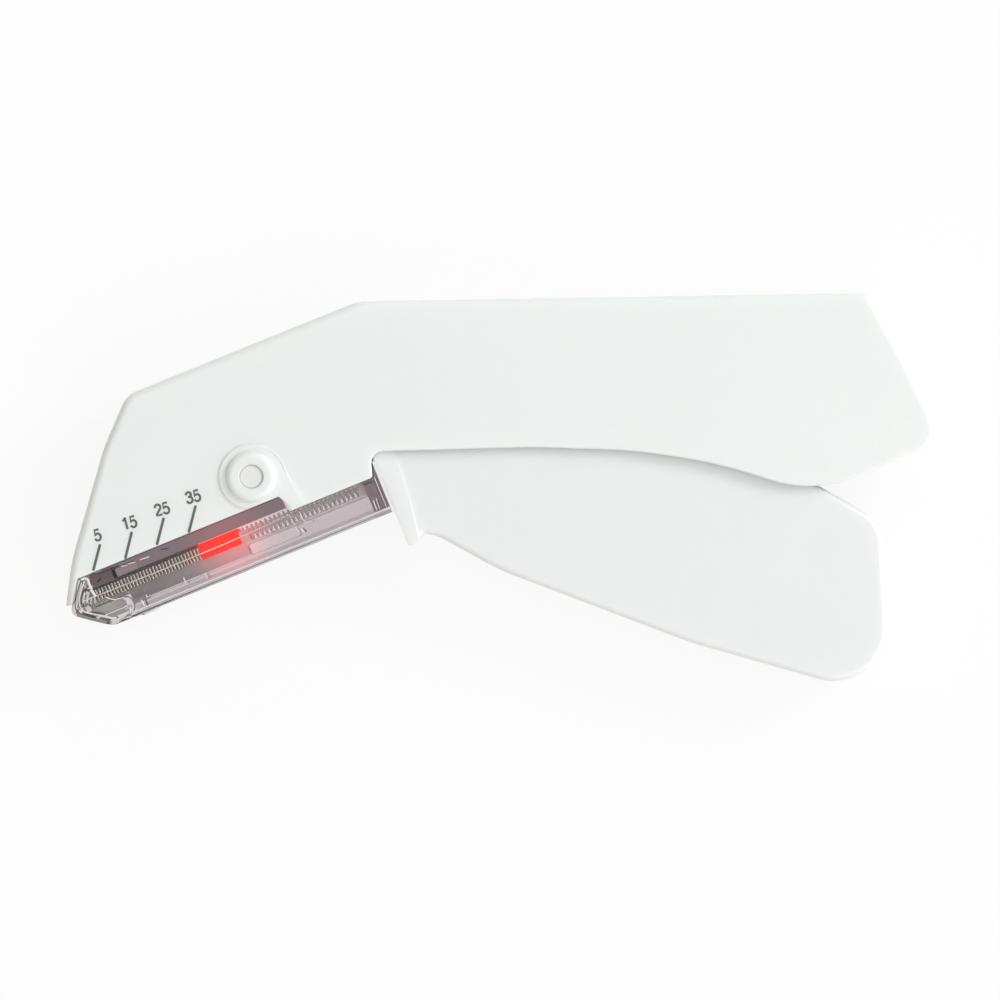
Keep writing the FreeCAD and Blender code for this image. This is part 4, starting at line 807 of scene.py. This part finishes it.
# %% Printed scale
INK_LOW, INK_FILM = TOP_FACE - 0.01 * MM, 0.03 * MM
TICK_WIDTH = 2.7 * PIXEL
TICK_ROUND = 0.12 * MM
SCALE_TILT = radians(14)
DIGIT_HEIGHT = 11.0 * PIXEL       # between the middles of the top and bottom strokes
DIGIT_STROKE = 2.35 * PIXEL
DIGIT_WIDTH, DIGIT_STEP = 0.62, 0.70
DIGIT_STROKES = {
    "1": [[(0.10, 0.76), (0.24, 0.84), (0.34, 0.97), (0.38, 1.04)], [(0.37, 1.04), (0.37, -0.06)]],
    "2": [[(0.05, 0.72), (0.08, 0.86), (0.18, 0.96), (0.31, 0.99), (0.45, 0.95), (0.55, 0.84), (0.55, 0.69),
           (0.48, 0.55), (0.35, 0.41), (0.20, 0.25), (0.10, 0.11), (0.07, 0.02), (0.60, 0.02)]],
    "3": [[(0.05, 0.77), (0.10, 0.89), (0.19, 0.97), (0.31, 0.99), (0.44, 0.95), (0.52, 0.84), (0.51, 0.70),
           (0.43, 0.60), (0.31, 0.56), (0.22, 0.56)],
          [(0.31, 0.56), (0.45, 0.51), (0.55, 0.40), (0.56, 0.25), (0.50, 0.10), (0.39, 0.02), (0.28, 0.00),
           (0.16, 0.03), (0.07, 0.12), (0.03, 0.24)]],
    "5": [[(0.54, 0.98), (0.16, 0.98), (0.09, 0.50), (0.17, 0.58), (0.29, 0.63), (0.42, 0.61), (0.53, 0.51),
           (0.58, 0.36), (0.56, 0.20), (0.48, 0.07), (0.36, 0.00), (0.23, 0.01), (0.11, 0.08), (0.04, 0.21)]],
}
scale_marks = [
    ("5", (100.1, 544.2), (93.2, 570.7), (97.3, 535.0)),
    ("15", (131.8, 531.7), (125.2, 558.8), (129.2, 522.6)),
    ("25", (163.8, 517.6), (156.8, 545.0), (162.0, 509.0)),
    ("35", (195.7, 505.5), (188.7, 532.6), (193.0, 496.6)),
]


def print_tick(name, top, foot):
    """A slanted bar of ink from one point of the picture to another."""
    a, b = picture_point(*top), picture_point(*foot)
    run = a - b
    bpy.ops.object.select_all(action="DESELECT")
    bpy.ops.mesh.primitive_plane_add(size=1, location=(0, 0, 0))
    bpy.ops.object.mode_set(mode="EDIT")
    bpy.ops.mesh.select_all(action="SELECT")
    bpy.ops.transform.resize(value=(run.length, TICK_WIDTH, 1))
    bpy.ops.mesh.bevel(offset=TICK_ROUND, segments=2, affect="VERTICES")
    extrude_by((0, 0, INK_FILM))
    bpy.ops.mesh.select_all(action="SELECT")
    bpy.ops.mesh.normals_make_consistent(inside=False)
    middle = (a + b) / 2
    turn = Matrix.Rotation(-Vector((1, 0)).angle_signed(run.xy), 4, "Z")
    return settle(ready(name), Matrix.Translation((middle.x, middle.y, INK_LOW)) @ turn)


def print_number(name, digits, centre):
    """Bold digits drawn by strokes, turned with the scale and pressed flat to a film of ink."""
    strokes = []
    for i, digit in enumerate(digits):
        for marks in DIGIT_STROKES[digit]:
            path = [Vector((x + i * DIGIT_STEP, y, 0)) * DIGIT_HEIGHT for x, y in marks]
            strokes.append(draw_line(name, path, DIGIT_STROKE / 2))
    pick(*strokes)
    if len(strokes) > 1:
        bpy.ops.object.join()
    piece = ready(name)
    middle = Vector(((len(digits) - 1) * DIGIT_STEP + DIGIT_WIDTH, 1.0, 0)) * DIGIT_HEIGHT / 2
    flat = Matrix.Diagonal((1, 1, INK_FILM / DIGIT_STROKE, 1)) @ Matrix.Translation(-middle)
    centre = picture_point(*centre)
    place = Matrix.Translation((centre.x, centre.y, INK_LOW + INK_FILM / 2))
    return settle(piece, place @ Matrix.Rotation(SCALE_TILT, 4, "Z") @ flat)


for digits, top, foot, centre in scale_marks:
    for piece in (print_tick("scale_line_" + digits, top, foot),
                  print_number("scale_number_" + digits, digits, centre)):
        finish_piece(piece, ink, "housing")
